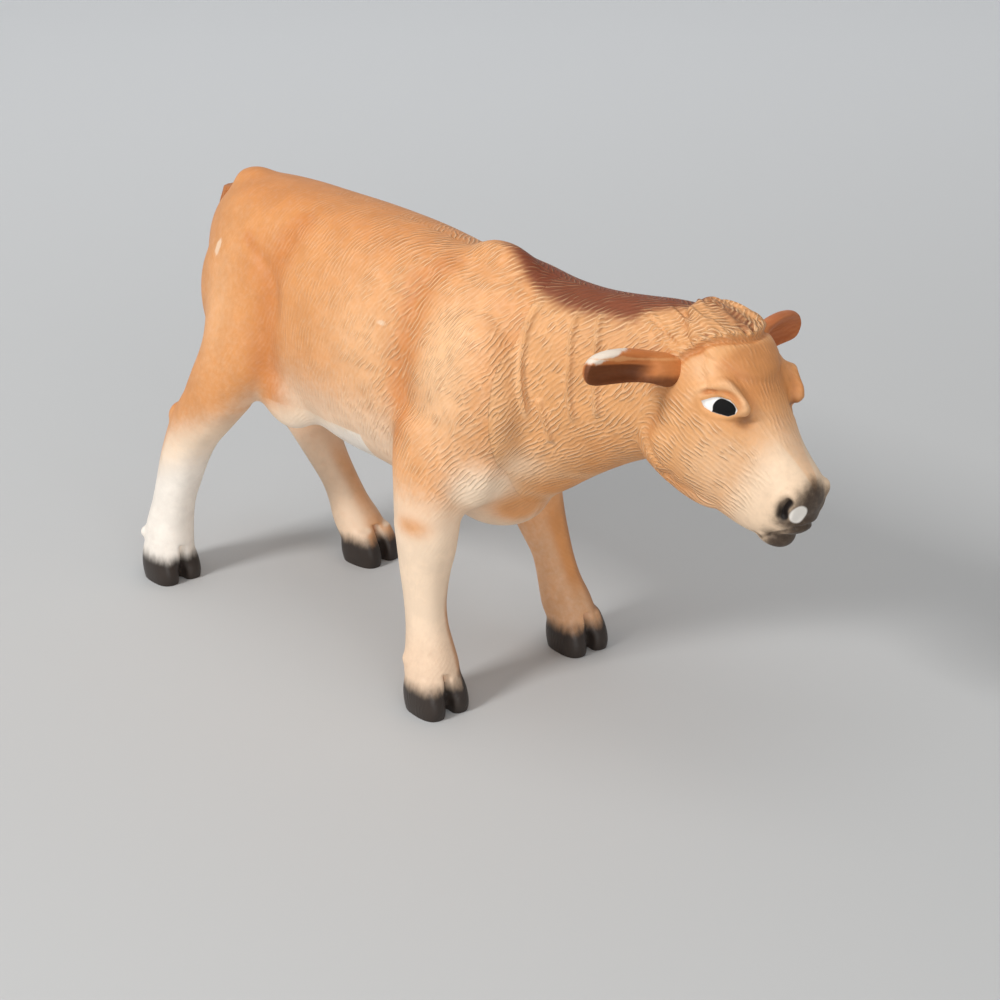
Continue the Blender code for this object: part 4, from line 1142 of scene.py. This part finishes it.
points, normals = surface(body)
masks = shared_masks(points, normals)
legs = leg_masks(points, normals)
masks["cream"] = np.maximum(masks["cream"], legs["cream"])
masks["orange"] = np.maximum(masks["orange"], legs["orange"])
masks["streak"] = legs["streak"]
masks["white"] = legs["white"]
inner = ramp(normals[:, 1], 0.0, 0.8) * (points[:, 0] > 0)
masks["hoof"] = 3.25 - points[:, 2] / MM + 1.3 * inner
masks["chip"] = highest(*(
    size * (1 - np.linalg.norm((points / MM - middle) / radii, axis=1))
    for middle, radii, size in CHIPS
))
for name, values in masks.items():
    keep(body, name, values)
place = folded(points)
keep(body, "coat", body_coat(place))
keep(body, "cord", cord_share(place))
keep(body, "across", across_strands(body_rise(place), from_middle(points), normals))
print("body masks:", ", ".join(masks))

# %% Masks of the head
PATCH_MIDDLE = np.array([19.50, 1.68, -1.80])
PATCH_RADIUS = 0.98


def head_masks(points, normals):
    """Hair cap, cheeks, lids, muzzle, nostrils and eyes, from places in the head's frame."""
    local = in_head(points)
    n, l, t = local.T
    ahead, turn = ahead_of_edge(local)
    masks = shared_masks(points, normals)
    behind = 1 - ramp(ahead, -1.5, 0.5)
    for name in ("deep", "painted_highlight", "cream", "orange"):
        masks[name] = masks[name] * behind
    crown = (1 - ramp(ahead, -0.5, 0.1)) * (1 - ramp(turn, 34, 62))
    poll = crown * (0.62 - 0.36 * ramp(turn, 0, 18))
    masks["crest"] = np.maximum(masks["crest"] * behind * (1 - 0.8 * cap_share(local)), poll)
    fold, _ = near_path(local, smooth_path(BROW_FOLD))
    crease, _ = near_path(local, smooth_path(LID_CREASE))
    eye = eye_distance(local)
    far_side = placed(points, head_frame.inverted())[:, 1] > 0
    # More of the deep mask on the head: painted shade in the lid crease, below the eye, in the
    # groove ahead of the hair cap's lip, under the ear, behind the brow fold, under the jaw and
    # chin, and over the far brow; the forehead, the nose bridge and the back of the cheek take the
    # toy's own deeper tan.
    masks["deep"] = highest(
        masks["deep"],
        0.95 * far_side * spot(local, (9.2, 4.0, 4.2), (2.6, 2.2, 2.4)),
        0.9 * bell(crease, 0.42),
        0.25 * bell(eye - 0.9, 1.2) * (t < 2.5),
        0.85 * (1 - ramp(turn, 62, 75)) * bell(ahead - 0.45, 0.45),
        0.60 * spot(local, (2.5, 6.0, 0.5), (2.6, 2.0, 2.2)),
        0.60 * spot(local, (3.2, 6.0, -3.5), (1.0, 3.0, 3.5)),
        0.80 * (1 - ramp(turn, 30, 55)) * ramp(n, 4.5, 6) * (1 - ramp(n, 9, 12)),
        0.45 * (1 - ramp(turn, 12, 34)) * ramp(n, 8, 11) * (1 - ramp(n, 15, 18)),
        0.95 * spot(local, (1.6, 5.2, 1.6), (1.6, 2.2, 1.8)),
        0.70 * (1 - ramp(turn, 20, 50)) * spot(local, (9.5, 0, 4), (2.0, 9, 3)),
        0.60 * spot(local, (7.5, 4.6, 4.9), (2.4, 1.2, 1.2)) * (1 - bell(fold, 0.7)),
        0.55 * spot(local, (15.5, 2.6, -6.6), (2.2, 2.0, 1.6)),
        0.65 * spot(local, (8.0, 3.0, -8.0), (6.0, 5.0, 2.0)),
    )
    # Painted highlight on the near brow fold, the brow and the cheek, where the light falls; the
    # far brow fold gets none.
    masks["painted_highlight"] = highest(
        masks["painted_highlight"],
        0.8 * bell(fold, 0.6) * (1 - far_side),
        0.6 * spot(local, (5.2, 4.6, 4.6), (2.0, 2.0, 1.6)),
        0.5 * spot(local, (9.5, 4.0, -3.0), (4.0, 3.0, 3.0)),
    )
    muzzle = ramp(n, 10.0, 16.0) * ramp(turn, 10, 38)
    masks["cream"] = highest(masks["cream"], muzzle, 0.60 * ramp(n, 9, 15),
                             0.35 * ramp(n, 6, 12) * ramp(turn, 60, 90))
    nostril, along = near_path(local * FLATTEN, smooth_path(NOSTRIL) * FLATTEN)
    mouth, _ = near_path(local, smooth_path(MOUTH))
    # The dimple mask is a painted shadow in the hollow in front of the eye.
    masks["dimple"] = 0.8 * spot(local, BROW_DIMPLE, (0.95, 0.8, 0.9))
    masks["nostril"] = 0.36 + 0.12 * along - nostril
    masks["dark"] = highest(
        ramp(n - 0.35 * l + 0.10 * t, 16.9, 18.9) * (1 - ramp(l, 2.6, 3.6)),
        ramp(n, 16.8, 18.6) * ramp(-t, 3.8, 5.6),
        0.95 * bell(mouth, 0.45),
        0.9 * bell(nostril, 0.65),
        spot(local, (18.9, 1.6, -3.0), (1.3, 2.2, 0.8)),
        0.9 * spot(local, (19.0, 2.0, -1.7), (1.0, 1.0, 1.1)),
    )
    # A white glossy spot beside the right nostril, with none on the left side.
    off_patch = np.linalg.norm(local - PATCH_MIDDLE, axis=1)
    masks["patch"] = np.where(far_side, -4, PATCH_RADIUS - off_patch)
    masks["eye"] = -eye
    across = np.linalg.norm((on_eye(local) - IRIS_SHIFT) / IRIS_HALF, axis=1)
    masks["iris"] = np.where(eye < 4, (1 - across) * IRIS_HALF[1], -4)
    return masks, local, ahead


points, normals = surface(head)
masks, local, ahead = head_masks(points, normals)
for name, values in masks.items():
    keep(head, name, values)
turns = np.array(head_frame.to_3x3())
rise = HEAD_HAIR_RISE + (CAP_RISE - HEAD_HAIR_RISE) * cap_share(local)
sideways = placed(points, head_frame.inverted())[:, 1]
own = ramp(ahead, -2.0, 0.8)[:, None]
across = own * (across_strands(rise, sideways, normals @ turns) @ turns.T)
across += (1 - own) * across_strands(body_rise(folded(points)), from_middle(points), normals)
keep(head, "across", across)
keep(head, "cord", cord_share(folded(points)) * (1 - own[:, 0]))
own = own[:, 0]
smooth_nose = 1 - ramp(local[:, 0], 12.5, 16.5)
lids = ramp(eye_distance(local), 0.5, 1.4)
cheek = 0.25 + 0.75 * ramp(ahead_of_edge(local)[1], 62, 88)
cheek = cheek * (0.3 + 0.9 * ramp(soft_noise(local), 0.3, 0.65)) + 1.2 * cap_share(local)
keep(head, "coat", (1 - own) * body_coat(folded(points)) + own * smooth_nose * lids * cheek)
print("head masks:", ", ".join(masks))

# %% Masks of the ears and the tail
def ear_masks(item, side):
    """A dark hollow, a pale upper rim toward the tip, and a darker root."""
    points, normals = surface(item)
    along, up = (placed(points, ear_matrix(side).inverted()) / MM).T[1:]
    axes = np.array(ear_matrix(side).to_3x3())
    facing = normals @ axes[:, 0]
    keep(item, "rim", up - 0.80 - 1.5 * (1 - ramp(along, 4.8, 9.6)))
    off_streak = np.abs(up - 1.30) + 0.5 * np.abs(ramp(along, 4.5, 9.5) - 0.4)
    keep(item, "tan_streak", 0.30 - off_streak)
    keep(item, "root", 1 - ramp(along, 1.8, 4.2))
    low = 0.85 * (1 - ramp(up, -0.8, 0.2))
    keep(item, "hollow", ramp(facing, -0.25, 0.15) * (1 - ramp(up, 0.55, 0.90))
              * highest(ramp(along, 2.2, 4.6), low))
    keep(item, "across", np.tile(axes[:, 2], (len(points), 1)))


ear_masks(ear_right, -1)
ear_masks(ear_left, 1)
points, _ = surface(tail)
keep(tail, "tuft", 1 - ramp(points[:, 2] / MM, 22, 34))
turn = np.arctan2(points[:, 1], points[:, 0] - tail_root + 0.05 * TAIL_LENGTH)
keep(tail, "across", np.stack([-np.sin(turn), np.cos(turn), 0 * turn], axis=-1))

# %% [markdown]
# ## Paint
# All pieces are satin paint over soft plastic, so they share three effects, each a node group:
# engraved hair, a sprayed edge, and the mottle of thin paint. The hair group reads the stored
# direction across the strands, so its ridges follow the coat round the shoulder.

# %% Node helpers
def colour(red, green, blue):
    """A colour read off a screen, from 0 to 255, in Blender's linear light."""
    share = np.array([red, green, blue]) / 255
    linear = np.where(share <= 0.04045, share / 12.92, ((share + 0.055) / 1.055) ** 2.4)
    return (*linear, 1.0)


def add(tree, kind, **settings):
    """One node, with its properties set."""
    node = tree.nodes.new(kind)
    for name, value in settings.items():
        setattr(node, name, value)
    return node


def feed(tree, socket, source):
    """Links a source to a socket, or writes a plain value into it."""
    if isinstance(source, bpy.types.NodeSocket):
        tree.links.new(source, socket)
    else:
        socket.default_value = source


def sum_of(tree, operation, first, second=0.0, third=0.0):
    """One step of arithmetic."""
    node = add(tree, "ShaderNodeMath", operation=operation)
    for socket, source in zip(node.inputs, (first, second, third)):
        feed(tree, socket, source)
    return node.outputs[0]


def blend(tree, share, under, over):
    """Lays one colour over another by a share."""
    node = add(tree, "ShaderNodeMix", data_type="RGBA")
    feed(tree, node.inputs["Factor"], share)
    feed(tree, node.inputs[6], under)
    feed(tree, node.inputs[7], over)
    return node.outputs[2]


def number_blend(tree, share, under, over):
    """Blends two numbers by a share."""
    node = add(tree, "ShaderNodeMix", data_type="FLOAT")
    feed(tree, node.inputs["Factor"], share)
    feed(tree, node.inputs[2], under)
    feed(tree, node.inputs[3], over)
    return node.outputs[0]


def curve(tree, value, low, high, start=0.0, end=1.0):
    """A smooth step from start to end between low and high."""
    node = add(tree, "ShaderNodeMapRange", interpolation_type="SMOOTHSTEP")
    for name, source in (("Value", value), ("From Min", low), ("From Max", high),
                         ("To Min", start), ("To Max", end)):
        feed(tree, node.inputs[name], source)
    return node.outputs["Result"]


def noise(tree, vector, scale, detail=2.0, roughness=0.5):
    """Perlin noise from 0 to 1."""
    node = add(tree, "ShaderNodeTexNoise")
    feed(tree, node.inputs["Vector"], vector)
    feed(tree, node.inputs["Scale"], scale)
    feed(tree, node.inputs["Detail"], detail)
    feed(tree, node.inputs["Roughness"], roughness)
    return node.outputs["Fac"]


def new_group(name, inputs, outputs):
    """A node group with named sockets."""
    group = bpy.data.node_groups.new(name, "ShaderNodeTree")
    for label, kind, value in inputs:
        socket = group.interface.new_socket(label, in_out="INPUT", socket_type=kind)
        if value is not None:
            socket.default_value = value
    for label in outputs:
        group.interface.new_socket(label, in_out="OUTPUT", socket_type="NodeSocketFloat")
    return group, add(group, "NodeGroupInput").outputs, add(group, "NodeGroupOutput").inputs


def use(tree, group, **sources):
    """Places a node group with its own values."""
    node = add(tree, "ShaderNodeGroup", node_tree=group)
    for name, source in sources.items():
        feed(tree, node.inputs[name.replace("_", " ")], source)
    return node.outputs


# %% Engraved hair
CELLS_PER_MM = 0.98
WAVES_PER_CELL = 2.1

hair_group, ins, outs = new_group("engraved_hair", [
    ("Place", "NodeSocketVector", None),
    ("Across", "NodeSocketVector", None),
], ["Height", "Groove"])
waves = add(hair_group, "ShaderNodeTexGabor", gabor_type="3D")
waves.inputs["Frequency"].default_value = WAVES_PER_CELL
waves.inputs["Anisotropy"].default_value = 1.0
feed(hair_group, waves.inputs["Vector"], ins["Place"])
waves.inputs["Scale"].default_value = CELLS_PER_MM
feed(hair_group, waves.inputs[5], ins["Across"])
feed(hair_group, outs["Height"], curve(hair_group, waves.outputs["Value"], 0.40, 0.68))
feed(hair_group, outs["Groove"], curve(hair_group, waves.outputs["Value"], 0.42, 0.20))

# %% A sprayed or brushed edge
edge_group, ins, outs = new_group("painted_edge", [
    ("Mask", "NodeSocketFloat", 0.0),
    ("Place", "NodeSocketVector", None),
    ("Speckle", "NodeSocketFloat", 2.5),
    ("Ragged", "NodeSocketFloat", 0.3),
    ("Soft", "NodeSocketFloat", 0.5),
], ["Share"])
spots = noise(edge_group, ins["Place"], ins["Speckle"], 3.0, 0.6)
speckle = sum_of(edge_group, "SUBTRACT", spots, 0.5)
torn = sum_of(edge_group, "MULTIPLY_ADD", speckle, ins["Ragged"], ins["Mask"])
feed(edge_group, outs["Share"], curve(
    edge_group, torn, sum_of(edge_group, "MULTIPLY", ins["Soft"], -0.5),
    sum_of(edge_group, "MULTIPLY", ins["Soft"], 0.5)))

# %% Mottle of thin paint, and the fine grain of the plastic
grain_group, ins, outs = new_group("paint_grain", [
    ("Place", "NodeSocketVector", None),
], ["Mottle", "Grain"])
clouds = noise(grain_group, ins["Place"], 0.35, 5.0, 0.62)
feed(grain_group, outs["Mottle"], curve(grain_group, clouds, 0.32, 0.68))
feed(grain_group, outs["Grain"], noise(grain_group, ins["Place"], 9.0, 2.0))

# %% [markdown]
# ## One recipe, several coats
# A painter lays colours over each other: first the base tan, then washes, then crisp details.
# The washes and the pale ridges of the hair are partly painted shade and painted highlight.
# The recipe does the same. Each layer is a colour, the mask it follows, and how soft or
# ragged its edge is.

# %% The recipe
MM_SCALE = 1000.0
# Shares of pale ridge colour and dark groove colour in the hair: partly the toy's dry-brush and
# wash, partly painted highlight and painted shade of the relief.
RIDGE_SHARE = 0.36
GROOVE_SHARE = 0.20
GRAIN_HEIGHT = 0.010
SPECULAR = 0.32
CORD_PAINT = (250, 210, 166)
CREST_SOFT = 0.9


class Coat:
    """A material that starts from one colour and takes layers of paint over it."""

    def __init__(self, name, base, rough=0.50):
        self.material = bpy.data.materials.new(name)
        self.material.use_nodes = True
        self.tree = self.material.node_tree
        self.shader = self.tree.nodes["Principled BSDF"]
        place = add(self.tree, "ShaderNodeTexCoord").outputs["Object"]
        scaled = add(self.tree, "ShaderNodeVectorMath", operation="SCALE")
        feed(self.tree, scaled.inputs[0], place)
        feed(self.tree, scaled.inputs["Scale"], MM_SCALE)
        self.place = scaled.outputs[0]
        self.colour = colour(*base)
        self.rough = rough
        self.height = 0.0

    def product(self, first, second):
        """One share times another."""
        return sum_of(self.tree, "MULTIPLY", first, second)

    def mask(self, name):
        """A stored number."""
        return add(self.tree, "ShaderNodeAttribute", attribute_name=name).outputs["Fac"]

    def vector(self, name):
        """Three stored numbers."""
        return add(self.tree, "ShaderNodeAttribute", attribute_name=name).outputs["Vector"]

    def sprayed(self, name, strength=1.0, ragged=0.35, speckle=1.6):
        """A mask from 0 to 1 with a speckled edge."""
        centred = sum_of(self.tree, "SUBTRACT", self.mask(name), 0.5)
        share = use(self.tree, edge_group, Mask=centred, Place=self.place, Speckle=speckle,
                    Ragged=ragged, Soft=1.15)["Share"]
        return self.product(share, strength)

    def crisp(self, name, ragged=0.0, speckle=2.0, soft=0.10):
        """A mask from a distance in mm, with a sharp edge or one brushed up and down."""
        brushed = add(self.tree, "ShaderNodeVectorMath", operation="MULTIPLY")
        feed(self.tree, brushed.inputs[0], self.place)
        brushed.inputs[1].default_value = (1.0, 1.0, 0.3)
        return use(self.tree, edge_group, Mask=self.mask(name), Place=brushed.outputs[0],
                   Speckle=speckle, Ragged=ragged, Soft=soft)["Share"]

    def washed(self, name, strength):
        """A sprayed mask that fills the grooves of the hair before it covers the ridges, so it lies
        darker in the grooves, partly as painted shade, and is kept off the pale ridges, partly as
        painted highlight.
        """
        share = sum_of(self.tree, "SUBTRACT", self.mask(name), 0.5)
        share = sum_of(self.tree, "MULTIPLY_ADD", self.groove, 0.30, share)
        share = sum_of(self.tree, "MULTIPLY_ADD", self.ridge, -0.24, share)
        return self.product(curve(self.tree, share, -CREST_SOFT / 2, CREST_SOFT / 2), strength)

    def layer(self, share, paint, rough=None):
        """Lays a colour over what is there, and its own roughness where it has one."""
        self.colour = blend(self.tree, share, self.colour, colour(*paint))
        if rough is not None:
            self.rough = number_blend(self.tree, share, self.rough, rough)

    def hair(self, depth, strength, light, dark):
        """Engraved strands: relief, pale ridges and dark grooves; the pale ridges are partly
        dry-brushed paint and partly painted highlight, the dark grooves partly wash and partly
        painted shade.
        """
        strands = use(self.tree, hair_group, Place=self.place, Across=self.vector("across"))
        self.ridge = self.product(strands["Height"], strength)
        self.groove = self.product(strands["Groove"], strength)
        # Pale ridges, partly painted highlight, and dark grooves, partly painted shade.
        self.layer(self.product(self.ridge, RIDGE_SHARE), light)
        self.layer(self.product(self.groove, GROOVE_SHARE), dark)
        self.height = sum_of(self.tree, "MULTIPLY_ADD", self.ridge, depth, self.height)

    def finish(self, item):
        """Adds mottle, grain and relief, and puts the paint on the piece."""
        worn = use(self.tree, grain_group, Place=self.place)
        shaded = add(self.tree, "ShaderNodeHueSaturation")
        feed(self.tree, shaded.inputs["Color"], self.colour)
        value = curve(self.tree, worn["Mottle"], 0.0, 1.0, 0.955, 1.04)
        feed(self.tree, shaded.inputs["Value"], value)
        height = sum_of(self.tree, "MULTIPLY_ADD", worn["Grain"], GRAIN_HEIGHT, self.height)
        bump = add(self.tree, "ShaderNodeBump")
        feed(self.tree, bump.inputs["Height"], height)
        feed(self.tree, bump.inputs["Distance"], MM)
        feed(self.tree, self.shader.inputs["Base Color"], shaded.outputs[0])
        feed(self.tree, self.shader.inputs["Roughness"], self.rough)
        feed(self.tree, self.shader.inputs["Normal"], bump.outputs[0])
        self.shader.inputs["Specular IOR Level"].default_value = SPECULAR
        item.data.materials.clear()
        item.data.materials.append(self.material)


# %% Body paint
# The pale peach layer is painted highlight, the deep layer is partly painted shade, and the streak
# layer is partly painted shade on the fore legs.
BODY_SPRAY = (
    ("painted_highlight", 0.85, (249, 200, 152)),
    ("deep", 0.90, (202, 124, 62)),
    ("cream", 0.92, (245, 222, 195)),
    ("white", 0.92, (248, 241, 231)),
    ("orange", 0.88, (218, 144, 78)),
    ("streak", 0.85, (184, 122, 74)),
)

coat = Coat("sprayed_tan", (216, 147, 87))
for name, strength, paint in BODY_SPRAY:
    coat.layer(coat.sprayed(name, strength), paint)
coat.hair(0.11, coat.mask("coat"), (255, 214, 168), (184, 116, 62))
coat.layer(coat.washed("crest", 0.96), (120, 53, 28))
coat.layer(coat.product(coat.mask("cord"), 0.80), CORD_PAINT)
coat.layer(coat.crisp("chip", 0.3, 3.0, 0.25), (240, 204, 170))
coat.layer(coat.crisp("hoof", 1.1, 1.1, 1.9), (56, 48, 43), 0.36)
coat.finish(body)

# %% Head paint
# The pale peach layer is painted highlight, and the deep layer is partly painted shade.
HEAD_SPRAY = (
    ("painted_highlight", 0.85, (248, 202, 156)),
    ("deep", 0.85, (198, 126, 68)),
    ("cream", 0.95, (236, 209, 179)),
    ("orange", 0.88, (218, 144, 78)),
)
EYE_SOFT = 0.07

coat = Coat("sprayed_face", (224, 162, 104))
for name, strength, paint in HEAD_SPRAY:
    coat.layer(coat.sprayed(name, strength), paint)
coat.hair(0.11, coat.mask("coat"), (255, 216, 174), (178, 108, 60))
coat.layer(coat.washed("crest", 0.94), (122, 56, 31))
coat.layer(coat.product(coat.mask("cord"), 0.80), CORD_PAINT)
# Painted shadow in the hollow in front of the eye.
coat.layer(coat.sprayed("dimple", 0.9), (126, 80, 50))
coat.layer(coat.sprayed("dark", 0.95, 0.5, 1.8), (46, 30, 20), 0.46)
coat.layer(coat.crisp("nostril", 0.2, 2.0, 0.35), (24, 15, 11), 0.6)
coat.layer(coat.crisp("patch", 0.05, 2.0, 0.22), (240, 233, 224), 0.16)
opening, iris = (coat.crisp(name, soft=EYE_SOFT) for name in ("eye", "iris"))
coat.layer(opening, (238, 234, 230), 0.22)
coat.layer(coat.product(opening, iris), (3, 3, 4), 0.85)
coat.finish(head)

# %% Ear paint
# The far left ear gets a darker base colour than the right one: painted shade.
for item, base in ((ear_right, (196, 116, 60)), (ear_left, (182, 104, 58))):
    coat = Coat(item.name + "_coat", base)
    coat.hair(0.03, 0.5, (214, 142, 90), (150, 82, 40))
    coat.layer(coat.sprayed("root", 0.8), (206, 130, 72))
    if item is ear_right:
        coat.layer(coat.sprayed("hollow", 0.95), (104, 56, 27), 0.6)
        coat.layer(coat.crisp("rim", 1.3, 1.1, 0.35), (232, 216, 198), 0.5)
        coat.layer(coat.crisp("tan_streak", 0.3, 1.2, 0.25), (222, 156, 100), 0.4)
    coat.finish(item)

# %% Tail paint
coat = Coat("tail_coat", (184, 112, 60))
coat.layer(coat.sprayed("tuft", 0.85), (120, 70, 42))
coat.hair(0.06, 1.0, (212, 144, 88), (110, 62, 36))
coat.finish(tail)

# %% [markdown]
# ## Studio
# The calf stands on a pale sweep of paper under soft light from above. The camera was fitted
# to the photograph: where it stands, how it is turned, and how long its lens is.

# %% Floor and backdrop in one sweep of paper
SWEEP_RADIUS = 0.30
SWEEP_START = -0.45
# Paper colours: grey in front, and nearly white behind and up the sweep, which is painted shade and
# painted light on one pale paper.
NEAR_PAPER, FAR_PAPER = (194, 194, 193), (251, 252, 253)


def paper_mesh():
    """A profile carried sideways: flat floor, a quarter circle, then straight up."""
    turn = np.linspace(0, np.pi / 2, 24)
    flat = np.linspace(0.9, SWEEP_START, 20)
    back = np.concatenate([flat, SWEEP_START - SWEEP_RADIUS * np.sin(turn)[1:],
                           np.full(6, SWEEP_START - SWEEP_RADIUS)])
    rise = np.concatenate([0 * flat, SWEEP_RADIUS * (1 - np.cos(turn))[1:],
                           np.linspace(SWEEP_RADIUS, 1.1, 7)[1:]])
    side = np.linspace(-1.2, 1.2, 9)
    points = np.stack(np.broadcast_arrays(side[None], back[:, None], rise[:, None]), axis=-1)
    rows, columns, _ = points.shape
    index = np.arange(rows * columns).reshape(rows, columns)
    quads = np.stack([index[:-1, :-1], index[:-1, 1:], index[1:, 1:], index[1:, :-1]], axis=-1)
    mesh = bpy.data.meshes.new("paper")
    mesh.from_pydata(points.reshape(-1, 3), [], quads.reshape(-1, 4).tolist())
    behind = np.repeat(-back, columns).astype(np.float32)
    mesh.attributes.new("behind", "FLOAT", "POINT").data.foreach_set("value", behind)
    mesh.transform(Matrix.Rotation(math.radians(CAMERA_TURN_DEGREES + 180), 4, "Z"))
    mesh.shade_smooth()
    return mesh


paper = bpy.data.objects.new("paper", paper_mesh())
bpy.context.collection.objects.link(paper)
card = bpy.data.materials.new("pale_card")
card.use_nodes = True
card_shader = card.node_tree.nodes["Principled BSDF"]
# Painted shade and light: the paper runs from grey in front to nearly white behind.
behind = add(card.node_tree, "ShaderNodeAttribute", attribute_name="behind").outputs["Fac"]
toward_back = curve(card.node_tree, behind, -0.05, 0.42)
feed(card.node_tree, card_shader.inputs["Base Color"],
     blend(card.node_tree, toward_back, colour(*NEAR_PAPER), colour(*FAR_PAPER)))
card_shader.inputs["Roughness"].default_value = 0.6
card_shader.inputs["Specular IOR Level"].default_value = 0.2
paper.data.materials.append(card)

# %% Camera
camera = bpy.data.objects.new("camera", bpy.data.cameras.new("camera"))
camera.data.sensor_width = SENSOR_MM
camera.data.lens = LENS_MM
camera.location = CAMERA_PLACE + SHIFT
camera.rotation_euler = (math.radians(90 - CAMERA_DOWN_DEGREES), 0,
                         math.radians(CAMERA_TURN_DEGREES))
bpy.context.collection.objects.link(camera)
bpy.context.scene.camera = camera
bpy.context.scene.view_settings.view_transform = "Standard"

# %% Lights
def soft_lamp(name, place, size, power):
    """A square lamp that faces the calf."""
    lamp = bpy.data.objects.new(name, bpy.data.lights.new(name, "AREA"))
    lamp.data.size = size
    lamp.data.energy = power
    lamp.location = place
    aim = Vector((0, 0, 0.02)) - Vector(place)
    lamp.rotation_euler = aim.to_track_quat("-Z", "Y").to_euler()
    bpy.context.collection.objects.link(lamp)


soft_lamp("key", (-0.06, -0.40, 0.32), 0.10, 1.43)
soft_lamp("top", (0.02, -0.04, 0.55), 0.45, 0.80)
soft_lamp("fill", (0.36, -0.24, 0.12), 0.30, 0.6)
world = bpy.data.worlds.new("studio")
world.use_nodes = True
world.node_tree.nodes["Background"].inputs["Color"].default_value = (0.93, 0.95, 0.97, 1)
world.node_tree.nodes["Background"].inputs["Strength"].default_value = 0.36
bpy.context.scene.world = world
